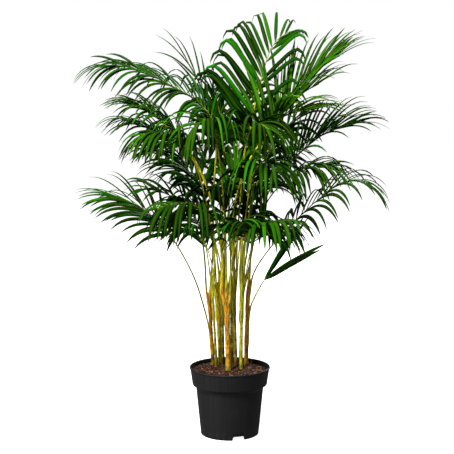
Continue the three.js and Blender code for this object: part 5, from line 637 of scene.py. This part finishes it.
def frond_object(f, index):
    B = Build()
    st = Stalk(f)
    gold = GOLD.get(f["name"], 0.06 + 0.5 * scatter(index, 7, 7))
    c = CANE[f["cane"]]
    # stalk, from inside its sheath round the cane out to the tip
    z0 = f["path"][0][2]
    centres, radii, frames, tints, vv, gr = [], [], [], [], [], []
    slim = f["stalk"] < 2.5
    reach = 62.0 if slim else 95.0
    low = -26.0 if slim else -58.0
    fine = list(np.arange(low, st.s0 + 1, 11.0)) + [x for x in st.s if x > st.s0 + 4]
    S0 = st.st[0][3]
    for s in fine:
        if s < 0:
            p = np.array(f["path"][0]) + np.array([0, 0, s])
            T = UP
        else:
            p = st.line.at(s)
            T = st.line.tangent(s)
        w = smooth((s - low * 0.35) / reach)
        ax = cane_axis(f["cane"], p[2])
        cen = ax * (1 - w) + p * w
        r_s = st.radius(max(s, 0))
        grown = smooth((s - low) / 34.0)
        r_c = (cane_radius(c, p[2]) - 0.35 + (0.65 + 0.40 * NEST[f["name"]]) * grown) * (1 - 0.25 * smooth((p[2] - c["path"][-1][2]) / 60))
        r = r_c * (1 - w) + r_s * w
        P_, _, T_, S_, N_ = st.station(max(s, 0.0))
        centres.append(cen)
        radii.append(r)
        frames.append((S_, N_))
        t = min(1.0, max(0.0, (s - st.s0) / (st.L - st.s0)))
        look = CANE_LOOK[f["cane"]]
        kz = min(1.0, max(0.0, (p[2] - SOIL_Z) / (c["path"][-1][2] - SOIL_Z)))
        own = along(look[0], look[1], look[2], kz) * (0.88 + 0.2 * scatter(index, 5, 5))
        gold_ = min(1.0, max(0.0, gold + 0.30 * (scatter(index, 8, 8) - 0.5)))
        g = own + (gold_ - own) * smooth((s + 10.0) / 150.0)
        g = g * (1 - 0.62 * t)
        brown = along(look[3], look[4], look[5], kz) * (1 - smooth((s - low) / 90.0))
        edge = 0.55 * scatter(index, 3, 9) * (1 - smooth(abs(s - low - 6.0) / 9.0))
        tints.append((min(1.0, max(0.0, g)), brown, edge))
        vv.append(s / 100.0)
        gr.append(smooth((s - 60) / 80.0) * (1 - 0.6 * t))
    # direction of travel agrees with S x N, so the tube faces out
    sleeve(B, centres, radii, frames, tints, vv, 2, groove=gr)
    # painted shade: leaflets of fronds flagged dark, at the back and inside the crown, are pushed towards the
    # near-black end
    dark = 0.35 if f["dark"] else 0.0
    for o in range(2 * f["pairs"]):
        ch = f["set"][o]
        if ch == "-":
            continue
        side, pair = o % 2, o // 2
        pts, ws, broad, L, sd = leaflet(f, index, st, pair, side, st.bare + o, int(ch, 36))
        r = [scatter(index, 900 + o, k) for k in range(4)]
        u = (pair + 0.5) / f["pairs"]
        yel = 0.02 + 0.16 * r[1] * r[1] * r[1] + (0.05 * u if not f["dark"] else 0.0)
        if f["name"] == "frond_right_yellow":
            yel += 0.14
        yel += LIME.get(f["name"], 0.0) * (0.4 + 1.2 * r[0])
        tint = (max(0.0, min(1.0, 0.04 + 0.96 * r[0] ** 1.35 - dark)), min(1.0, yel), 1.0 if r[2] > 0.62 else 0.0)
        blade(B, pts, ws, broad, L, sd, tint, r)
    ob = B.object("leaf_" + f["name"][6:], [TOP_M, LOW_M, STALK_M])
    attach(ob, "root")
    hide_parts(f["name"])
    return ob


def cane_object(c, ci):
    B = Build()
    ln = CANE_LINE[c["name"]]
    look = CANE_LOOK[c["name"]]
    step = 1.6
    n = int(ln.length / step)
    # heights of the leaf-scar rings: closer together low down
    rings, x, i = [], 8.0, 0
    while x < ln.length + 5:
        rings.append(x)
        x += (15 + 15 * min(1.0, x / 160)) * (0.8 + 0.4 * scatter(ci, i, 2)) * (c["foot"] / 6.0) ** 0.4
        i += 1
    rings = np.array(rings)
    centres, radii, frames, tints, vv = [], [], [], [], []
    for j in range(n + 1):
        s = ln.length * j / n
        p = ln.at(s)
        T = ln.tangent(s)
        S = unit(np.cross(T, np.array([0.2, 1.0, 0.0])))
        N = np.cross(S, T)
        r = cane_radius(c, p[2])
        d = s - rings[np.argmin(np.abs(s - rings))]
        below = rings[rings <= s]
        f_ = (s - below[-1]) if len(below) else 20.0
        scar = math.exp(-((d / 1.3) ** 2))
        flare = 0.045 * math.exp(-max(0, -d) / 5.0) if d <= 0 else 0.03 * math.exp(-d / 2.0)
        r = r * (0.985 + flare) + 0.30 * scar - 0.25 * math.exp(-(((d - 2.6) / 1.2) ** 2))
        k = s / ln.length
        if k > 0.93:
            r *= math.cos((k - 0.93) / 0.07 * 1.1)
        centres.append(p)
        radii.append(max(0.5, r))
        frames.append((S, N))
        near = int(np.argmin(np.abs(s - rings)))
        g = along(look[0], look[1], look[2], k) * (0.86 + 0.28 * scatter(ci, near, 5))
        tints.append((min(1.0, max(0.0, g)), along(look[3], look[4], look[5], k), min(0.8, 0.65 * scar)))
        vv.append(s / 100.0)
    sleeve(B, centres, radii, frames, tints, vv, 0, sides=22)
    ob = B.object("stem_" + c["name"][5:], [CANE_M])
    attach(ob, "root")
    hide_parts(c["name"])
    return ob


for i, f in enumerate(FRONDS):
    frond_object(f, i)
for i, c in enumerate(CANES):
    cane_object(c, i)


# ---------------------------------------------------------------- pot
def pot_object():
    H = 204.0
    outer = [
        (84.6, 0.0), (85.6, 0.15), (86.3, 0.7), (86.7, 1.6), (87.4, 8.0), (89.2, 26.0), (92.1, 55.0), (94.9, 84.0), (97.6, 112.0),
        (99.9, 135.0), (100.5, 141.0), (101.0, 144.0), (102.2, 146.3), (104.5, 148.4), (107.6, 149.6), (110.0, 150.6), (111.2, 151.8),
        (111.6, 153.6), (112.1, 158.0), (113.9, 170.0), (116.0, 184.0), (117.8, 195.6), (118.1, 197.6), (118.7, 198.6), (119.6, 199.2),
        (119.95, 200.2), (119.95, 202.2), (119.5, 203.4), (118.6, 203.95), (117.4, 203.7), (116.5, 202.6), (115.9, 200.4),
        (115.4, 196.0), (113.5, 182.0), (110.8, 163.0), (109.4, 155.6), (108.6, 153.6), (106.8, 152.2), (102.0, 149.8), (99.6, 147.6),
        (98.6, 145.0), (98.0, 140.0), (95.4, 112.0), (92.7, 84.0), (89.9, 55.0), (87.0, 26.0), (85.8, 17.4), (84.4, 15.0), (81.5, 14.1), (60.0, 14.1), (30.0, 14.1),
        (24.5, 13.6), (22.6, 11.0), (21.9, 4.0), (20.5, 2.3), (18.0, 2.1), (0.0, 2.1),
    ]
    under = [(0.0, 0.0), (23.0, 0.0), (24.2, 0.5), (24.8, 2.0), (25.8, 10.0), (27.6, 12.0), (60.0, 12.0), (83.4, 12.0), (84.6, 10.5), (84.4, 3.0), (84.1, 0.4)]
    prof = under + outer
    sides = 216
    B = Build()
    notch = [math.radians(a) for a in (-72.4, 47.6, 167.6)]

    V, ids = [], []
    for r, z in prof:
        if r == 0:
            ids.append([len(V)])
            V.append((0, 0, z))
            continue
        row = []
        for i in range(sides):
            a = 2 * math.pi * i / sides
            row.append(len(V))
            zz, rr = z, r
            # drainage notches: the foot's lower edge is lifted with rounded corners
            if z < 11.5 and r > 80:
                for m in notch:
                    d = abs((a - m + math.pi) % (2 * math.pi) - math.pi) * 86.0
                    if d < 19.5:
                        lift = 11.6 * (1 - smooth((d - 15.8) / 2.4)) if d < 18.4 else 0.0
                        zz = max(z, lift + 0.03 * z)
            V.append((rr * math.cos(a), rr * math.sin(a), zz))
        ids.append(row)
    B.add(V, (0.5, 0.5, 0.5))
    for j in range(len(prof) - 1):
        p, q = ids[j], ids[j + 1]
        for i in range(sides):
            i2 = (i + 1) % sides
            if len(p) == 1:
                idx = [p[0], q[i2], q[i]]
            elif len(q) == 1:
                idx = [p[i], p[i2], q[0]]
            else:
                idx = [p[i], p[i2], q[i2], q[i]]
            B.face(idx, 0, [(0, 0)] * len(idx))
    ob = B.object("nursery_pot", [POT_M])
    # drain holes in the base plate
    cutters = []
    for i in range(8):
        a = math.radians(22.5 + 45 * i)
        bpy.ops.mesh.primitive_cylinder_add(vertices=28, radius=0.0055, depth=0.02, location=(0.058 * math.cos(a), 0.058 * math.sin(a), 0.013))
        cutters.append(bpy.context.object)
    bpy.ops.object.select_all(action="DESELECT")
    for k in cutters:
        k.select_set(True)
    bpy.context.view_layer.objects.active = cutters[0]
    bpy.ops.object.join()
    cut = bpy.context.object
    mod = ob.modifiers.new("holes", "BOOLEAN")
    mod.operation, mod.object, mod.solver = "DIFFERENCE", cut, "EXACT"
    bpy.context.view_layer.objects.active = ob
    bpy.ops.object.modifier_apply(modifier="holes")
    bpy.data.objects.remove(cut)
    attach(ob, "root")
    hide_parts("pot")
    return ob


pot_object()


# ---------------------------------------------------------------- soil
def soil_height(x, y):
    r = math.hypot(x, y)
    pts = [(0, 198.0), (64, 195.5), (94, 191.2), (115, 189.0)]
    z = np.interp(r, [p[0] for p in pts], [p[1] for p in pts])
    z += 0.9 * math.sin(x * 0.11 + 1) * math.cos(y * 0.13) + 0.6 * math.sin(x * 0.31 - y * 0.23) + 0.5 * math.sin(y * 0.41 + x * 0.17 + 2)
    return z


def soil_object():
    B = Build()
    sides, rad = 120, [0] + list(np.linspace(2.5, 114.3, 44))
    V, ids = [], []
    for r in rad:
        if r == 0:
            ids.append([0])
            V.append((0, 0, soil_height(0, 0)))
            continue
        row = []
        for i in range(sides):
            a = 2 * math.pi * i / sides
            x, y = r * math.cos(a), r * math.sin(a)
            row.append(len(V))
            j = scatter(i, int(r * 10), 4) - 0.5
            V.append((x, y, soil_height(x, y) + 1.1 * j))
        ids.append(row)
    for r, z in ((107.6, 156.0), (97.2, 143.0), (84.0, 18.0), (81.0, 14.6), (0, 14.6)):
        if r == 0:
            ids.append([len(V)])
            V.append((0, 0, z))
            continue
        ids.append([len(V) + i for i in range(sides)])
        V += [(r * math.cos(2 * math.pi * i / sides), r * math.sin(2 * math.pi * i / sides), z) for i in range(sides)]
    tint = [(0.25 + 0.35 * scatter(i, 2, 2), 0, 0) for i in range(len(V))]
    B.add(V, tint)
    for j in range(len(ids) - 1):
        p, q = ids[j], ids[j + 1]
        for i in range(sides):
            i2 = (i + 1) % sides
            if len(p) == 1:
                idx = [p[0], q[i], q[i2]]
            elif len(q) == 1:
                idx = [p[i2], p[i], q[0]]
            else:
                idx = [p[i], q[i], q[i2], p[i2]]
            B.face(idx, 0, [(0, 0)] * len(idx))
    # bark chips, fibres and perlite lying on the surface
    base = np.array([(-1, -1, -1), (1, -1, -1), (1, 1, -1), (-1, 1, -1), (-1, -1, 1), (1, -1, 1), (1, 1, 1), (-1, 1, 1)], float)
    faces = [(0, 3, 2, 1), (4, 5, 6, 7), (0, 1, 5, 4), (1, 2, 6, 5), (2, 3, 7, 6), (3, 0, 4, 7)]
    spots = []
    for c in CANES:
        p = cane_axis(c["name"], 197)
        spots.append((p[0], p[1], c["foot"]))
    for i in range(3300):
        h = [scatter(i, k, 77) for k in range(12)]
        r = 113.0 * math.sqrt(h[0])
        a = 2 * math.pi * h[1]
        x, y = r * math.cos(a), r * math.sin(a)
        kind = "perlite" if i % 26 == 0 else "red" if i % 5 == 0 else "bark"
        if kind == "perlite":
            size = np.array([1.1, 0.95, 0.85]) * (0.7 + 1.1 * h[2])
        elif i % 7 == 1:
            size = np.array([5.5, 0.7, 0.5]) * (0.6 + 1.0 * h[2])  # fibres and splinters
        else:
            size = np.array([2.6, 1.6, 0.75]) * (0.45 + 1.35 * h[2] ** 1.6)
        reach = float(size[0])
        if any(math.hypot(x - sx, y - sy) < sr + 0.5 for sx, sy, sr in spots):
            continue
        if r + reach > 114.0:
            size *= 0.6
            if r + reach * 0.6 > 114.2:
                continue
        yaw, pit, rol = 6.28 * h[3], 0.7 * (h[4] - 0.5), 0.9 * (h[5] - 0.5)
        cy, sy_, cp, sp, cr, sr_ = math.cos(yaw), math.sin(yaw), math.cos(pit), math.sin(pit), math.cos(rol), math.sin(rol)
        M = np.array([[cy, -sy_, 0], [sy_, cy, 0], [0, 0, 1]]) @ np.array([[cp, 0, sp], [0, 1, 0], [-sp, 0, cp]]) @ np.array([[1, 0, 0], [0, cr, -sr_], [0, sr_, cr]])
        shape = base * size
        jit = np.array([[scatter(i, 20 + v, k) - 0.5 for k in range(3)] for v in range(8)])
        shape = shape * (1 + 0.55 * jit)
        if kind == "perlite":
            shape *= np.where(np.abs(base).sum(1, keepdims=True) > 2, 0.8, 1)
        z = soil_height(x, y) + size[2] * (0.3 + 0.5 * h[6]) + 0.25 * reach * abs(sp)
        P = shape @ M.T + np.array([x, y, z])
        shade = 0.1 + 0.9 * h[7]
        tint = (shade, 0.9 if kind == "perlite" else 0.0, 0.55 + 0.4 * h[8] if kind == "red" else 0.0)
        o = B.add(P, tint)
        for fc in faces:
            B.face([o + k for k in fc], 0, [(0, 0)] * 4)
    ob = B.object("soil_surface", [SOIL_M], smooth_all=False)
    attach(ob, "root")
    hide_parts("potting_soil")
    return ob


soil_object()

# ---------------------------------------------------------------- stage, camera, lights
scene = bpy.context.scene
bpy.ops.mesh.primitive_circle_add(vertices=96, radius=14.0, fill_type="NGON", location=(0, 0, -0.0005))
floor = bpy.context.object
floor.name = "floor"
fm = bpy.data.materials.new("floor")
fm.use_nodes = True
ft = fm.node_tree
fb = ft.nodes["Principled BSDF"]
fb.inputs["Base Color"].default_value = (0.80, 0.80, 0.80, 1)
fb.inputs["Roughness"].default_value = 1.0
fb.inputs["Specular IOR Level"].default_value = 0.0
glow = ft.nodes.new("ShaderNodeEmission")
glow.inputs["Strength"].default_value = 0.95
lit = ft.nodes.new("ShaderNodeAddShader")
pick = ft.nodes.new("ShaderNodeMixShader")
path = ft.nodes.new("ShaderNodeLightPath")
ft.links.new(fb.outputs[0], lit.inputs[0])
ft.links.new(glow.outputs[0], lit.inputs[1])
bounce = ft.nodes.new("ShaderNodeBsdfDiffuse")
bounce.inputs["Color"].default_value = (0.16, 0.16, 0.16, 1)
ft.links.new(path.outputs["Is Camera Ray"], pick.inputs[0])
ft.links.new(bounce.outputs[0], pick.inputs[1])
ft.links.new(lit.outputs[0], pick.inputs[2])
ft.links.new(pick.outputs[0], ft.nodes["Material Output"].inputs[0])
floor.data.materials.append(fm)

cam_data = bpy.data.cameras.new("camera")
cam = bpy.data.objects.new("camera", cam_data)
scene.collection.objects.link(cam)
cam_data.sensor_width = 36.0
cam_data.lens = 97.93
cam_data.clip_end = 100.0
cam.location = (-0.0082, -3.6, 1.081)
cam.rotation_euler = (math.radians(90 - 7.27), 0, 0)
scene.camera = cam

world = bpy.data.worlds.new("studio")
scene.world = world
world.use_nodes = True
nt = world.node_tree
bg = nt.nodes["Background"]
bg.inputs[0].default_value = (1, 1, 1, 1)
bg.inputs[1].default_value = 0.05
backdrop = nt.nodes.new("ShaderNodeBackground")
backdrop.inputs[0].default_value = (1, 1, 1, 1)
backdrop.inputs[1].default_value = 1.0
seen = nt.nodes.new("ShaderNodeLightPath")
blend = nt.nodes.new("ShaderNodeMixShader")
nt.links.new(seen.outputs["Is Camera Ray"], blend.inputs[0])
nt.links.new(bg.outputs[0], blend.inputs[1])
nt.links.new(backdrop.outputs[0], blend.inputs[2])
nt.links.new(blend.outputs[0], nt.nodes["World Output"].inputs[0])


def area(name, loc, size, energy, target=(0, 0, 0.7)):
    d = bpy.data.lights.new(name, "AREA")
    d.shape, d.size, d.energy = "DISK", size, energy
    o = bpy.data.objects.new(name, d)
    scene.collection.objects.link(o)
    o.location = loc
    v = np.array(target, float) - np.array(loc, float)
    from mathutils import Vector
    o.rotation_mode = "QUATERNION"
    o.rotation_quaternion = Vector(v).to_track_quat("-Z", "Y")
    return o


area("key", (-1.3, -2.5, 4.1), 0.8, 335)
area("fill", (3.2, -2.6, 1.6), 1.6, 12)
area("rear", (1.2, 3.4, 2.6), 1.6, 150)
area("crown", (0.4, 0.5, 4.2), 1.1, 70)
area("stems", (-2.5, -2.1, 0.95), 0.4, 72, target=(0, 0, 0.36))
scene.view_settings.view_transform = "Standard"
scene.view_settings.look = "None"
